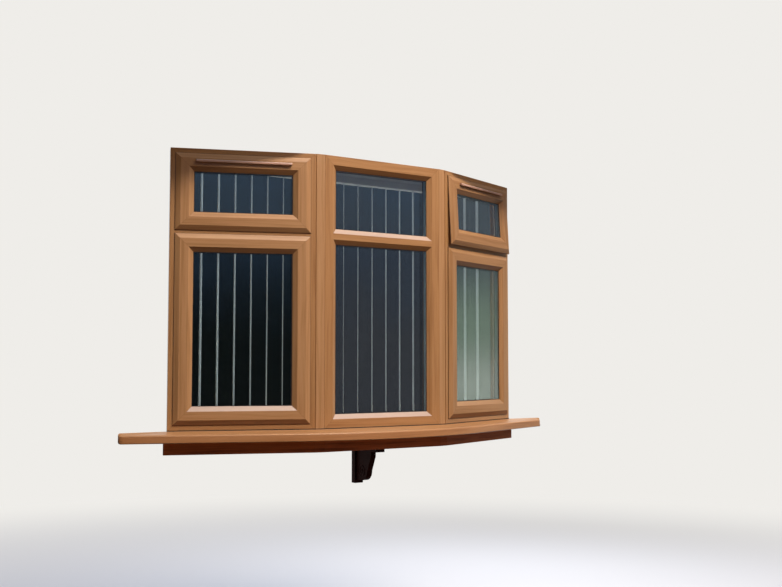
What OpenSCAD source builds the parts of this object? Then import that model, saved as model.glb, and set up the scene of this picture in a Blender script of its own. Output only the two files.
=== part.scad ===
// Three-facet bay window in wood-grain foiled profile, with sill, apron and corbel bracket.
// Millimetres. X runs along the wall, -Y points outdoors, the wall face is Y = 0, Z is up.
// The origin is the middle of the bracket's wall face.

/* [Plan] */
// Length of the left and right facets
side_w = 600; // [560:5:700]
// Length of the middle facet
centre_w = 600; // [560:5:800]
// Angle between a side facet and the wall
facet_angle = 21.25; // [18:0.25:24]
// Width of the face of a corner post
post_face = 43; // [36:1:56]
// Width of the groove between a post and its side frame
post_groove = 5; // [1:0.5:8]
// Cover of the wall's lining over the end of the frames
lining_cover = 68; // [30:1:90]
// Distance that the boards reach into the wall opening
opening_reach = 160; // [160:5:300]

/* [Frames] */
// Height of the outer frames
frame_h = 1155; // [1000:5:1400]
// Depth of the outer frames from outdoors to indoors
frame_d = 70; // [66:1:80]
// Height of the transom's middle above the bottom of the frame
transom_z = 810; // [700:5:850]
// Face of an outer frame that a sash lip leaves bare
frame_bare = 21; // [15:1:30]
// Part of the frame face that a sash lip covers
lip_cover = 25; // [22:1:30]
// Height of the inner stop that a sash closes on
stop_h = 18; // [12:1:20]
// Depth from the frame face to the inner stop
stop_at = 46; // [45:1:50]
// Extra bare strip of frame under the lower sashes
sash_rise = 3; // [0:0.5:6]
// Bare strip of transom between an upper and a lower sash
transom_bare = 14; // [8:1:24]

/* [Glazing] */
// Width of the flat face of a fixed light
fixed_face = 40; // [32:1:50]
// Width of the flat face of a sash
sash_face = 35; // [28:1:42]
// Width of the outer bevel of a sash
edge_bevel = 20; // [14:1:24]
// Width of the bevel beside the glass
bevel_w = 20; // [16:1:24]
// Depth of the bevel beside the glass
bevel_d = 14; // [10:1:16]
// Thickness of the lip that the glass bears on
lip_t = 2; // [1.5:0.5:3]
// Thickness of a sealed glass unit
glass_t = 28; // [24:1:28]
// Cover of the lip over the edge of the glass unit
glass_cover = 11; // [9:1:12]
// Room between the edge of a glass unit and its rebate
glass_gap = 3; // [2:0.5:4]
// Depth of a glazing bead
bead_d = 14; // [10:1:16]
// Running clearance between a sash body and its frame
sash_gap = 2; // [1:0.5:4]
// Width of the flat middle face of the fixed transom
mullion_face = 26; // [20:1:40]

/* [Vent] */
// Length of the weather hood on an upper sash
hood_l = 396; // [300:2:420]
// Height of the weather hood
hood_h = 12; // [8:1:16]
// Projection of the weather hood
hood_d = 13; // [8:1:20]
// Angle at which the right upper sash stands ajar
ajar_angle = 2.9; // [0:0.1:2.9]

/* [Sill] */
// Whole length of the sill with its horns
sill_l = 2210; // [2060:5:2400]
// Thickness of the sill under the frames
sill_t = 43; // [34:1:60]
// Fall of the sill's top in degrees
sill_fall = 6.5; // [3:0.5:8]
// Angle of the straight wings of the sill's nose
wing_angle = 22.5; // [20:0.5:24]
// Projection of the sill at its ends
sill_end = 10; // [6:1:30]
// Projection of the sill beyond the middle frame
sill_nose = 134; // [125:1:140]
// Width of the sloping part of the sill's top
sill_run = 85; // [60:1:85]
// Radius of the sill's nosing
nosing_r = 8; // [4:0.5:10]

/* [Base] */
// Thickness of the base board
base_t = 25; // [18:1:30]
// Height of the apron boards
apron_h = 52; // [40:1:90]
// Thickness of the apron boards
apron_t = 18; // [12:1:25]
// Distance that the apron stands proud of the frames
apron_proud = 6; // [2:1:12]
// Thickness of the soffit board
soffit_t = 12; // [6:1:12]
// Thickness of the indoor window board
window_board_t = 22; // [18:1:30]
// Thickness of the indoor head board
head_t = 18; // [12:1:30]

/* [Bracket] */
// Width of the bracket's plates
bracket_w = 44; // [42:1:70]
// Height of the bracket's wall plate
wall_plate_h = 146; // [130:2:200]
// Thickness of the bracket's wall plate
wall_plate_t = 26; // [12:1:30]
// Projection of the bracket's shelf plate
shelf_l = 198; // [160:2:210]
// Thickness of the bracket's shelf plate
shelf_t = 16; // [10:1:25]
// Thickness of the corbel between the plates
corbel_w = 26; // [18:1:26]
// Projection of the corbel under the shelf
corbel_l = 142; // [120:2:150]
// Height of the corbel's upright nose
corbel_nose = 22; // [10:1:30]
// Radius of the corbel's belly
corbel_belly = 44; // [36:1:50]
// Length of wall plate below the corbel
corbel_rise = 16; // [8:1:24]
// Radius of a screw hole in the wall plate
screw_r = 2.5; // [2:0.25:2.5]
// Distance across between the screw holes
screw_x = 35; // [34:0.5:36]
// Distance up between the screw holes
screw_z = 100; // [80:2:110]

/* [Blind] */
// Width of a vane of the vertical blind
vane_w = 89; // [80:1:90]
// Thickness of a vane
vane_t = 1; // [0.5:0.5:2]
// Distance between vanes
vane_pitch = 79; // [76:1:82]
// Number of vanes
vanes = 21; // [5:2:21]
// Angle of the vanes from square to the wall
vane_turn = 31; // [0:1:45]
// Distance of the blind behind the wall face
blind_y = 110; // [110:1:140]
// Height of the vanes' lower edge above the window board
vane_rise = 28; // [10:1:60]
// Height of the blind's head rail
rail_h = 32; // [24:1:40]
// Depth of the blind's head rail
rail_d = 38; // [30:1:44]

/* [Hidden] */
eps = 0.01;

oak = "#b0763f";
oak_dark = "#5a2f1c";
stain = "#24140c";
ply = "#c9a97a";
pane = "#35504c";
white = "#e9e7df";

// Heights
shelf_top_z = wall_plate_h / 2 + shelf_t;
apron_z = shelf_top_z;
sill_z = apron_z + apron_h;
frame_z = sill_z + sill_t;
head_z = frame_z + frame_h;

// Plan corners, from the wall round to the middle of the window
half_turn = facet_angle / 2;
depth = side_w * sin(facet_angle) + post_face * sin(half_turn);
corner_c = [-centre_w / 2, -depth];
corner_b = corner_c + post_face * [-cos(half_turn), sin(half_turn)];
corner_a = corner_b + side_w * [-cos(facet_angle), sin(facet_angle)];
half_w = -corner_a.x;

// Sash and glazing sizes
sash_sight = edge_bevel + sash_face + bevel_w;
sash_body_e = lip_cover + sash_gap;
sash_rebate_e = sash_sight - glass_cover - glass_gap;
fixed_sight = fixed_face + bevel_w;
fixed_rebate_e = fixed_sight - glass_cover - glass_gap;
frame_rebate_e = frame_bare + lip_cover;
sash_w = side_w - 2 * frame_bare;
lower_sash_z = frame_bare + sash_rise;
lower_sash_h = transom_z - transom_bare / 2 - lower_sash_z;
upper_sash_z = transom_z + transom_bare / 2;
upper_sash_h = frame_h - frame_bare - upper_sash_z;
sash_back = stop_at - 2;
lip_edge = bevel_d - 10;

// Outer edge and opening of each ring, as [depth, distance from the ring's outer edge]
past = 1;
frame_edge = [[0, 0], [frame_d, 0]];
frame_opening = [
    [-past, frame_rebate_e], [stop_at, frame_rebate_e],
    [stop_at, frame_rebate_e + stop_h], [frame_d + past, frame_rebate_e + stop_h]
];
sash_edge = [
    [-bevel_d, edge_bevel], [-lip_edge, 0], [0, 0], [0, sash_body_e], [sash_back, sash_body_e]
];
sash_opening = [
    [-bevel_d - past, edge_bevel + sash_face], [-bevel_d, edge_bevel + sash_face], [0, sash_sight],
    [lip_t, sash_sight], [lip_t, sash_rebate_e], [sash_back + past, sash_rebate_e]
];
sash_bead_n = lip_t + glass_t;
fixed_glass_n = bevel_d + lip_t;
fixed_bead_n = fixed_glass_n + glass_t;
fixed_opening = [
    [-past, fixed_face], [0, fixed_face], [bevel_d, fixed_sight], [fixed_glass_n, fixed_sight],
    [fixed_glass_n, fixed_rebate_e], [frame_d + past, fixed_rebate_e]
];
bead_tip = 4;
bead_foot = 5;
function bead_edge(n, rebate) = [[n, rebate], [n + bead_d, rebate]];
function bead_opening(n, rebate, sight) = [
    [n - past, sight], [n + bead_tip, sight], [n + bead_d, rebate + bead_foot],
    [n + bead_d + past, rebate + bead_foot]
];

// Point where the frame line, moved outwards by d, crosses the wall-parallel line y = yw
function wall_point(d, yw) =
    let (t = -(yw + d * cos(facet_angle)) / sin(facet_angle))
    [corner_a.x - d * sin(facet_angle) + t * cos(facet_angle), yw];
// Corner p between faces turned by a and b degrees, moved outwards by d
function moved_corner(p, a, b, d) =
    let (na = [-sin(a), -cos(a)], nb = [-sin(b), -cos(b)])
    p + d * (na + nb) / (1 + na * nb);
function left_line(d, yw) = [
    wall_point(d, yw),
    moved_corner(corner_b, facet_angle, half_turn, d),
    moved_corner(corner_c, half_turn, 0, d)
];
function reversed(points) = [for (i = [len(points) - 1:-1:0]) points[i]];
function flipped(points) = [for (p = reversed(points)) [-p.x, p.y]];
// Plan outline at distance d outside the frame face, closed along y = yw
function outline(d, yw) = concat(left_line(d, yw), flipped(left_line(d, yw)));

module board(points, z, t) {
    translate([0, 0, z]) linear_extrude(t) polygon(points);
}

// Places children in the frame of one facet: X along it, Y indoors, Z up from the frame's bottom
module on_facet(side) {
    if (side == "left")
        translate([corner_a.x, corner_a.y, frame_z]) rotate([0, 0, -facet_angle]) children();
    if (side == "centre")
        translate([corner_c.x, corner_c.y, frame_z]) children();
    if (side == "right")
        translate([-corner_b.x, corner_b.y, frame_z]) rotate([0, 0, facet_angle]) children();
}

// Plate of w by h whose four edges follow the same profile, meeting in mitres
module mitred_plate(w, h, edge) {
    function profile(l) = concat(
        [for (p = edge) [p.y, p.x]], [for (p = reversed(edge)) [l - p.y, p.x]]
    );
    intersection() {
        linear_extrude(h) polygon(profile(w));
        translate([w, 0, 0]) rotate([0, -90, 0]) linear_extrude(w) polygon(profile(h));
    }
}

// Ring with mitred corners
module ring(w, h, edge, opening) {
    difference() {
        mitred_plate(w, h, edge);
        mitred_plate(w, h, opening);
    }
}

// Outer frames, posts and transoms
module side_frame(side) {
    color(oak) on_facet(side) ring(side_w, frame_h, frame_edge, frame_opening);
}
module centre_frame() {
    color(oak) on_facet("centre") ring(centre_w, frame_h, frame_edge, fixed_opening);
}
post_arris = 1.5;
module left_post_body() {
    frame_end = [sin(facet_angle), cos(facet_angle)];
    along = (corner_c - corner_b) / post_face;
    board([
        corner_b + post_groove * along, corner_c - post_arris * along,
        corner_c + post_arris * [0, 1], corner_c + frame_d * [0, 1],
        corner_b + frame_d * frame_end, corner_b + post_groove * frame_end
    ], frame_z, frame_h);
}
module left_post() {
    color(oak) left_post_body();
}
module right_post() {
    color(oak) mirror([1, 0, 0]) left_post_body();
}
module side_transom(side) {
    half = transom_bare / 2 + lip_cover;
    color(oak) on_facet(side) {
        translate([frame_rebate_e, 0, transom_z - half])
            cube([side_w - 2 * frame_rebate_e, stop_at, 2 * half]);
        translate([frame_rebate_e + stop_h, stop_at - eps, transom_z - half - stop_h])
            cube([side_w - 2 * (frame_rebate_e + stop_h), frame_d - stop_at + eps, 2 * (half + stop_h)]);
    }
}
module centre_transom() {
    f = mullion_face / 2;
    body = f + fixed_rebate_e - fixed_face;
    section = [
        [0, -f], [bevel_d, -f - bevel_w], [fixed_glass_n, -f - bevel_w], [fixed_glass_n, -body],
        [frame_d, -body], [frame_d, body], [fixed_glass_n, body],
        [fixed_glass_n, f + bevel_w], [bevel_d, f + bevel_w], [0, f]
    ];
    color(oak) on_facet("centre") intersection() {
        translate([0, 0, transom_z]) rotate([90, 0, 90]) linear_extrude(centre_w) polygon(section);
        mitred_plate(centre_w, frame_h, fixed_opening);
    }
}

// Places children on a sash: X along it, Z up from its lower edge
module on_casement(side) {
    on_facet(side) translate([frame_bare, 0, lower_sash_z]) children();
}
module on_top_light(side) {
    tilt = side == "right" ? ajar_angle : 0;
    on_facet(side) translate([frame_bare, 0, upper_sash_z + upper_sash_h])
        rotate([-tilt, 0, 0]) translate([0, 0, -upper_sash_h]) children();
}
module casement(side) {
    color(oak) on_casement(side) ring(sash_w, lower_sash_h, sash_edge, sash_opening);
}
module top_light(side) {
    color(oak) on_top_light(side) ring(sash_w, upper_sash_h, sash_edge, sash_opening);
}

// Glazing beads
module bead_ring(w, h, n, rebate, sight) {
    color(oak) ring(w, h, bead_edge(n, rebate), bead_opening(n, rebate, sight));
}
module sash_beads(h) {
    bead_ring(sash_w, h, sash_bead_n, sash_rebate_e, sash_sight);
}
module left_beads() {
    on_casement("left") sash_beads(lower_sash_h);
    on_top_light("left") sash_beads(upper_sash_h);
}
module right_beads() {
    on_casement("right") sash_beads(lower_sash_h);
}
module right_top_beads() {
    on_top_light("right") sash_beads(upper_sash_h);
}
centre_light_h = transom_z - mullion_face / 2 + fixed_face;
centre_top_z = transom_z + mullion_face / 2 - fixed_face;
module centre_beads() {
    on_facet("centre") {
        bead_ring(centre_w, centre_light_h, fixed_bead_n, fixed_rebate_e, fixed_sight);
        translate([0, 0, centre_top_z])
            bead_ring(centre_w, frame_h - centre_top_z, fixed_bead_n, fixed_rebate_e, fixed_sight);
    }
}

// Glass units: w and h are the outer sizes of the ring that holds them
module glass_unit(w, h, n, rebate) {
    e = rebate + glass_gap;
    color(pane) translate([e, n, e]) cube([w - 2 * e, glass_t, h - 2 * e]);
}
module lower_glass(side) {
    on_casement(side) glass_unit(sash_w, lower_sash_h, lip_t, sash_rebate_e);
}
module upper_glass(side) {
    on_top_light(side) glass_unit(sash_w, upper_sash_h, lip_t, sash_rebate_e);
}
module centre_lower_glass() {
    on_facet("centre") glass_unit(centre_w, centre_light_h, fixed_glass_n, fixed_rebate_e);
}
module centre_upper_glass() {
    on_facet("centre") translate([0, 0, centre_top_z])
        glass_unit(centre_w, frame_h - centre_top_z, fixed_glass_n, fixed_rebate_e);
}

// Weather hood of the trickle vent on the upper sash's top rail
module vent_hood(side) {
    mid_z = upper_sash_h - edge_bevel - sash_face / 3;
    color(oak) on_top_light(side)
        translate([(sash_w - hood_l) / 2, -bevel_d, mid_z]) rotate([90, 0, 90]) linear_extrude(hood_l)
            polygon([
                [0, -hood_h / 2], [-hood_d + 3, -hood_h / 2], [-hood_d, -hood_h / 2 + 3],
                [-hood_d, 0], [-hood_d + 4, hood_h / 2 - 2], [0, hood_h / 2]
            ]);
}

// Espagnolette handles on the indoor face of the sashes
handle_base = [16, 10, 60];
handle_grip = [18, 12, 110];
handle_neck_l = 26;
handle_neck_r = 7;
handle_grip_top = 12;
module handle() {
    color(white) {
        translate([-handle_base.x / 2, 0, -handle_base.z / 2]) cube(handle_base);
        translate([0, handle_base.y - eps, 0]) rotate([-90, 0, 0])
            cylinder(h = handle_neck_l + 2 * eps, r = handle_neck_r, $fn = 48);
        translate([-handle_grip.x / 2, handle_base.y + handle_neck_l, handle_grip_top - handle_grip.z])
            cube(handle_grip);
    }
}
handle_room = 0.5;
handle_e = frame_rebate_e + stop_h - frame_bare + handle_room + handle_base.x / 2;
ajar_room = 6;
module casement_handle(side) {
    x = side == "left" ? sash_w - handle_e : handle_e;
    on_casement(side) translate([x, sash_back, lower_sash_h / 2]) handle();
}
module top_handle(side) {
    on_top_light(side) translate([sash_w / 2, sash_back, handle_e + ajar_room])
        rotate([0, 90, 0]) handle();
}

// Sill: straight wings joined by a bowed middle, with one section all along the nose
half_sill = sill_l / 2;
nose_y = -depth - sill_nose;
bow_x = (nose_y + sill_end + tan(wing_angle) * half_sill) / (tan(wing_angle) - tan(wing_angle / 2));
bow_r = bow_x / sin(wing_angle);
wing_y = -sill_end - tan(wing_angle) * (half_sill - bow_x);
section_room = 60;
section_l = sill_run + frame_d + section_room;
nose_drop = sill_run * tan(sill_fall);
nosing_z = nosing_r * tan(sill_fall) - nose_drop - nosing_r / cos(sill_fall);
drip = 3;
wing_room = 40;
bow_room = 1;
function nosing_point(a) = [nosing_r * (1 + cos(a)), nosing_z + nosing_r * sin(a)];
// The sill's section, as [distance behind the nose, height above its seat]
sill_section = concat(
    [[section_l, -sill_t], [drip, -sill_t], [0, drip - sill_t]],
    [for (i = [0:8]) nosing_point(180 - i * (90 - sill_fall) / 8)],
    [[sill_run, 0], [section_l, 0]]
);
// Left half: a straight wing and half the bow share the frame of their joint
module left_sill() {
    wing_l = (half_sill - bow_x) / cos(wing_angle) + wing_room;
    intersection() {
        board(concat(
            [[-half_sill, 0], [-half_sill, nose_y - past], [0, nose_y - past], [0, frame_d - depth]],
            reversed(left_line(-frame_d, 0))
        ), sill_z - past, sill_t + 2 * past);
        translate([-bow_x, wing_y, frame_z]) rotate([0, 0, -wing_angle]) {
            mirror([1, 0, 0]) rotate([90, 0, 90]) linear_extrude(wing_l) polygon(sill_section);
            translate([0, bow_r, 0]) rotate([0, 0, -90])
                rotate_extrude(angle = wing_angle + bow_room, $fn = 360)
                    polygon([for (p = sill_section) [bow_r - p.x, p.y]]);
        }
    }
}
module sill() {
    color(oak) {
        left_sill();
        mirror([1, 0, 0]) left_sill();
    }
}

// Boards under, inside and over the frames
opening_half = half_w - lining_cover;
frame_heel = corner_a + frame_d * [sin(facet_angle), cos(facet_angle)];
// Where the frames' indoor face meets the wall's lining
lining_y = frame_heel.y - (lining_cover - frame_d * sin(facet_angle)) * tan(facet_angle);
module packing_board() {
    inner = left_line(-frame_d, 0);
    side = [
        [-opening_half, opening_reach], [-opening_half, frame_heel.y], frame_heel, corner_a
    ];
    color(ply) board(concat(side, inner, flipped(inner), flipped(side)), sill_z, sill_t);
}
module base_board() {
    indoors = [
        [opening_half, 0], [opening_half, opening_reach],
        [-opening_half, opening_reach], [-opening_half, 0]
    ];
    color(ply) board(concat(outline(apron_proud - apron_t, 0), indoors), sill_z - base_t, base_t);
}
module soffit_board() {
    color(oak_dark) board(outline(apron_proud - apron_t, 0), apron_z, soffit_t);
}
module apron() {
    inner = reversed(outline(apron_proud - apron_t, 0));
    color(oak_dark) board(concat(outline(apron_proud, 0), inner), apron_z, apron_h);
}
function indoor_plan() = concat(
    outline(-frame_d, lining_y), [[opening_half, opening_reach], [-opening_half, opening_reach]]
);
module window_board() {
    color(white) board(indoor_plan(), frame_z, window_board_t);
}
module head_board() {
    color(white) board(indoor_plan(), head_z - head_t, head_t);
}

// Bracket under the middle of the bay
module bracket_wall_plate() {
    color(stain) difference() {
        translate([-bracket_w / 2, -wall_plate_t, -wall_plate_h / 2])
            cube([bracket_w, wall_plate_t, wall_plate_h]);
        for (x = [-screw_x / 2, screw_x / 2], z = [-screw_z / 2, screw_z / 2])
            translate([x, 1, z]) rotate([90, 0, 0])
                cylinder(h = wall_plate_t + 2, r = screw_r, $fn = 48);
    }
}
module bracket_shelf() {
    color(stain) translate([-bracket_w / 2, -shelf_l, wall_plate_h / 2])
        cube([bracket_w, shelf_l, shelf_t]);
}
module bracket_corbel() {
    top = wall_plate_h / 2;
    low = corbel_rise - top;
    belly = [-wall_plate_t - corbel_belly, low + corbel_belly];
    color(stain) translate([-corbel_w / 2, 0, 0]) {
        rotate([90, 0, 90]) linear_extrude(corbel_w) polygon([
            [-wall_plate_t, top], [-corbel_l, top], [-corbel_l, top - corbel_nose],
            belly - [corbel_belly, 0], belly - [0, corbel_belly], [-wall_plate_t, low]
        ]);
        translate([0, belly.x, belly.y]) rotate([0, 90, 0])
            cylinder(h = corbel_w, r = corbel_belly, $fn = 96);
    }
}

// Vertical blind across the room side of the bay
blind_end = 10;
rail_z = head_z - head_t - rail_h;
module blind_rail() {
    l = 2 * (opening_half - blind_end);
    color(white) translate([-l / 2, blind_y - rail_d / 2, rail_z]) cube([l, rail_d, rail_h]);
}
module blind_vanes() {
    low = frame_z + window_board_t + vane_rise;
    color(white) for (i = [0:vanes - 1])
        translate([(i - (vanes - 1) / 2) * vane_pitch, blind_y, low]) rotate([0, 0, -vane_turn])
            translate([-vane_t / 2, -vane_w / 2, 0]) cube([vane_t, vane_w, rail_z - low]);
}

sill();
packing_board();
base_board();
soffit_board();
apron();
window_board();
head_board();
left_post();
right_post();
side_frame("left");  // left_frame
centre_frame();
side_frame("right");  // right_frame
side_transom("left");  // left_transom
centre_transom();
side_transom("right");  // right_transom
casement("left");  // left_casement
casement("right");  // right_casement
top_light("left");  // left_top_light
top_light("right");  // right_top_light
left_beads();
centre_beads();
right_beads();
right_top_beads();
lower_glass("left");  // left_lower_glass
upper_glass("left");  // left_upper_glass
centre_lower_glass();
centre_upper_glass();
lower_glass("right");  // right_lower_glass
upper_glass("right");  // right_upper_glass
vent_hood("left");  // left_vent_hood
vent_hood("right");  // right_vent_hood
bracket_wall_plate();
bracket_shelf();
bracket_corbel();
casement_handle("left");  // left_casement_handle
casement_handle("right");  // right_casement_handle
top_handle("left");  // left_top_handle
top_handle("right");  // right_top_handle
blind_rail();
blind_vanes();
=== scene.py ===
import math

import bpy
import numpy as np
from mathutils import Matrix, Vector


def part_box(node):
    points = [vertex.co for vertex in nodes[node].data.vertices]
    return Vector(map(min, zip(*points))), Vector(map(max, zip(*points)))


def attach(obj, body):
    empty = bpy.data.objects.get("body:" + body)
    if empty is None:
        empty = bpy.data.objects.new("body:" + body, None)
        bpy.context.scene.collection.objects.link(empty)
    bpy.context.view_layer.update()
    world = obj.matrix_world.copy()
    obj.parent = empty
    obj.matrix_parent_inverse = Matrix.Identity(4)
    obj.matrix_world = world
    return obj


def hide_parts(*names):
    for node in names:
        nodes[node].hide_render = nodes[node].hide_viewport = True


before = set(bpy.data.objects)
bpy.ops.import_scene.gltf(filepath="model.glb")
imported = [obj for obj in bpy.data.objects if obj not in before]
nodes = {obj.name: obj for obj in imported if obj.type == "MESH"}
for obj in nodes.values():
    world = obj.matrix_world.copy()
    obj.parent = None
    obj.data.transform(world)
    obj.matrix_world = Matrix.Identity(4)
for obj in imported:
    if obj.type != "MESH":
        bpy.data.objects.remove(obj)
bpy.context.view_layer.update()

root = "root"
mm = 0.001
rad = math.radians
scene = bpy.context.scene

# The bay as a whole, in metres and degrees. Its corners are read from the frame.
bay = {
    "facetAngle": 21.25,
    "facetWidth": 0.600,
    "frameDepth": 0.070,
    "postFace": 0.043,
    "transomHeight": 0.810,      # middle of the transom above the frames' bottom
    "frameBare": 0.021,          # frame face that a sash leaves bare
    "sashRise": 0.003,           # extra bare strip under the lower sashes
    "transomBare": 0.014,
    "lipCover": 0.025,
    "stopHeight": 0.018,
    "stopDepth": 0.046,
    "transomFace": 0.026,
    "fixedFace": 0.040,
    "bevelWidth": 0.020,
    "bevelDepth": 0.014,
    "sashFace": 0.035,
    "edgeBevel": 0.020,
    "edgeDepth": 0.004,          # upright edge outside that bevel
    "sashGap": 0.002,            # between the sash's body and the frame
    "sashBack": 0.044,
    "lip": 0.002,
    "glassCover": 0.011,         # glass hidden behind the lip
    "glassGap": 0.003,
    "unitThickness": 0.028,
    "beadDepth": 0.014,
    "ajarAngle": 2.9,
}
frameLow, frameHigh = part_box("left_frame")
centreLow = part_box("centre_frame")[0]
level = frameLow[2]
frameHeight = frameHigh[2] - level
facetWidth = bay["facetWidth"]
sashWidth = facetWidth - 2 * bay["frameBare"]
lowerLevel = bay["frameBare"] + bay["sashRise"]
lowerHeight = bay["transomHeight"] - bay["transomBare"] / 2 - lowerLevel
upperLevel = bay["transomHeight"] + bay["transomBare"] / 2
upperHeight = frameHeight - bay["frameBare"] - upperLevel
sashSight = bay["edgeBevel"] + bay["sashFace"] + bay["bevelWidth"]
sashRebate = sashSight - bay["glassCover"] - bay["glassGap"]
fixedSight = bay["fixedFace"] + bay["bevelWidth"]
fixedRebate = fixedSight - bay["glassCover"] - bay["glassGap"]
frameRebate = bay["frameBare"] + bay["lipCover"]
facetTurn = rad(bay["facetAngle"])
cornerC = Vector((centreLow[0], centreLow[1]))
cornerB = cornerC + bay["postFace"] * Vector((-math.cos(facetTurn / 2), math.sin(facetTurn / 2)))
cornerA = cornerB + facetWidth * Vector((-math.cos(facetTurn), math.sin(facetTurn)))

# Origin and turn of each facet: X runs along it, Y indoors and Z up from the frames' bottom
facets = {
    "left": ((cornerA.x, cornerA.y, level), -bay["facetAngle"]),
    "centre": ((cornerC.x, cornerC.y, level), 0.0),
    "right": ((-cornerB.x, cornerB.y, level), bay["facetAngle"]),
}


def shift(x, y, z):
    # A move, and below it a turn, as matrices
    return Matrix.Translation(Vector((x, y, z)))


def turn(degrees, axis):
    return Matrix.Rotation(rad(degrees), 4, axis)


def onFacet(side):
    # From a facet's own directions to the shared frame
    place, angle = facets[side]
    return shift(*place) @ turn(angle, "Z")


def onCasement(side):
    # From the lower sash's bottom corner to the shared frame
    return onFacet(side) @ shift(bay["frameBare"], 0, lowerLevel)


def onTopLight(side):
    # The right upper sash leans out about its top edge
    lean = bay["ajarAngle"] if side == "right" else 0.0
    top = shift(bay["frameBare"], 0, upperLevel + upperHeight)
    return onFacet(side) @ top @ turn(-lean, "X") @ shift(0, 0, -upperHeight)


# Camera at the photograph's viewing angle
shot = {
    "place": (-2.635, -4.102, 0.4547),   # metres
    "yaw": 34.57,                        # degrees from +Y towards +X
    "pitch": 3.74,
    "focalPixels": 1079.2,
    "imagePixels": 782,
    "sensor": 36.0,                      # millimetres
}
eye = bpy.data.objects.new("camera", bpy.data.cameras.new("camera"))
eye.data.sensor_width = shot["sensor"]
eye.data.lens = shot["focalPixels"] / shot["imagePixels"] * shot["sensor"]
eye.matrix_world = shift(*shot["place"]) @ turn(-shot["yaw"], "Z") @ turn(90 + shot["pitch"], "X")
scene.collection.objects.link(eye)
scene.camera = eye
scene.view_settings.view_transform = "Standard"


def linear(hexColour):
    # sRGB hex to linear red, green, blue and alpha
    value = [int(hexColour[i:i + 2], 16) / 255 for i in (1, 3, 5)]
    return tuple(v / 12.92 if v <= 0.04045 else ((v + 0.055) / 1.055) ** 2.4 for v in value) + (1.0,)


def feed(node, values):
    # values: input name or index to a number, a hex colour, a socket or a node, whose first output it takes
    for key, value in values.items():
        if isinstance(value, bpy.types.Node):
            value = value.outputs[0]
        if isinstance(value, bpy.types.NodeSocket):
            node.id_data.links.new(value, node.inputs[key])
        else:
            node.inputs[key].default_value = linear(value) if isinstance(value, str) else value
    return node


def addNode(tree, kind, values=None, **settings):
    # A shader node of a kind, with its settings and then its inputs
    node = tree.nodes.new("ShaderNode" + kind)
    for name, value in settings.items():
        setattr(node, name, value)
    return feed(node, values or {})


def mixed(tree, share, one, other):
    # Colour (1 - share) * one + share * other
    return addNode(tree, "Mix", {0: share, 6: one, 7: other}, data_type="RGBA").outputs[2]


def ranged(tree, value, low, high, start=0.0, end=1.0, curve="LINEAR"):
    # A value from low to high becomes start to end
    return addNode(tree, "MapRange", {"Value": value, "From Min": low, "From Max": high,
                                      "To Min": start, "To Max": end}, interpolation_type=curve)


def maths(tree, operation, *values):
    # One operation on two or three values
    return addNode(tree, "Math", dict(enumerate(values)), operation=operation)


def scaled(tree, vector, factors):
    # Each axis of the vector times its factor
    return addNode(tree, "VectorMath", {0: vector, 1: factors}, operation="MULTIPLY")


def noise(tree, vector, scale, detail, roughness=0.5, **settings):
    # A cloudy value about 0.5, with scale waves to the metre of the vector
    return addNode(tree, "TexNoise", {"Vector": vector, "Scale": scale, "Detail": detail,
                                      "Roughness": roughness}, **settings)


def objectPlace(tree):
    # Metres from the shared frame's origin
    return addNode(tree, "TexCoord").outputs["Object"]


def axes(tree, vector):
    # The vector's three parts
    return addNode(tree, "SeparateXYZ", {0: vector}).outputs


def seenShare(tree):
    # 1 where the eye meets it directly, mirrored or through glass, and 0 where it only lights things
    path = addNode(tree, "LightPath").outputs
    direct = maths(tree, "MAXIMUM", path["Is Camera Ray"], path["Is Transmission Ray"])
    return maths(tree, "MAXIMUM", direct, path["Is Glossy Ray"])


def newMaterial(name):
    # An empty material with one principled surface
    material = bpy.data.materials.new(name)
    material.use_nodes = True
    tree = material.node_tree
    tree.nodes.clear()
    surface = addNode(tree, "BsdfPrincipled")
    addNode(tree, "OutputMaterial", {"Surface": surface})
    return material, tree, surface


def setSurface(tree, shader):
    # Another shader takes the surface's place
    feed(next(n for n in tree.nodes if n.type == "OUTPUT_MATERIAL"), {"Surface": shader})


studio = {
    "floorDrop": 0.95,           # floor below the origin, about where the ground would be
    "reach": 30.0,
    "pale": "#EFEDE9",           # backdrop as the camera sees it
    "paper": "#DBD9D6",          # and the floor, which the lamps light
    "paleStrength": 1.0,
    "ground": "#8A7560",         # what the floor bounces back on the object
    "nearFloor": 2.2,            # metres from the object where the floor starts to fade
    "farFloor": 7.0,             # and where it has become the backdrop
    "sky": "#C6D1EC",
    "skyStrength": 0.75,         # overhead
    "skyFull": 0.9,              # share of the way up where it is reached
    "horizonShare": 0.10,        # of that strength at the horizon
    "lampTone": "#FFF1E0",
    "roomTone": "#E9F1FF",
    "cardHigh": "#5D7FAB",       # the card that the left and middle panes mirror, high up
    "cardLow": "#1B2426",        # low down, where the left pane mirrors it
    "cardMiddle": "#797C89",     # and where the middle pane does
    "cardRise": (1.4, 4.2),      # metres up between which low turns to high
    "cardCloud": 1.6,            # metres by which a noise moves that
    "cardSpan": (-1.5, 3.0),     # metres along between which left turns to middle
    "sideHigh": "#707D8C",       # the card that the right panes mirror, high up
    "sideLow": "#B2CAB7",        # half way down
    "sideFoot": "#F2FFF2",       # and where the foot of the lower pane mirrors it
    "sideRise": (0.9, 2.0),
    "footLevel": 0.15,
    "footReach": 0.75,           # metres above and below that it takes to fade
    "dimCard": "#1E1712",        # what the undersides and the left-hand slopes mirror
    "flag": "#3A2A22",
    "flagRise": 0.004,           # metres above the frames
    "flagBack": 0.02,            # metres behind the middle frame's face
    "flagReach": 1.15,
    "flagBlunt": 0.01,           # metres that its inner corner is cut off
    "flagThin": 0.22,            # share of the light that the cloth lets through
    "roomDark": "#0E1517",
}
floorMaterial, floorTree, floorSurface = newMaterial("paleStudioPaper")
seenFloor = seenShare(floorTree)
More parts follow.
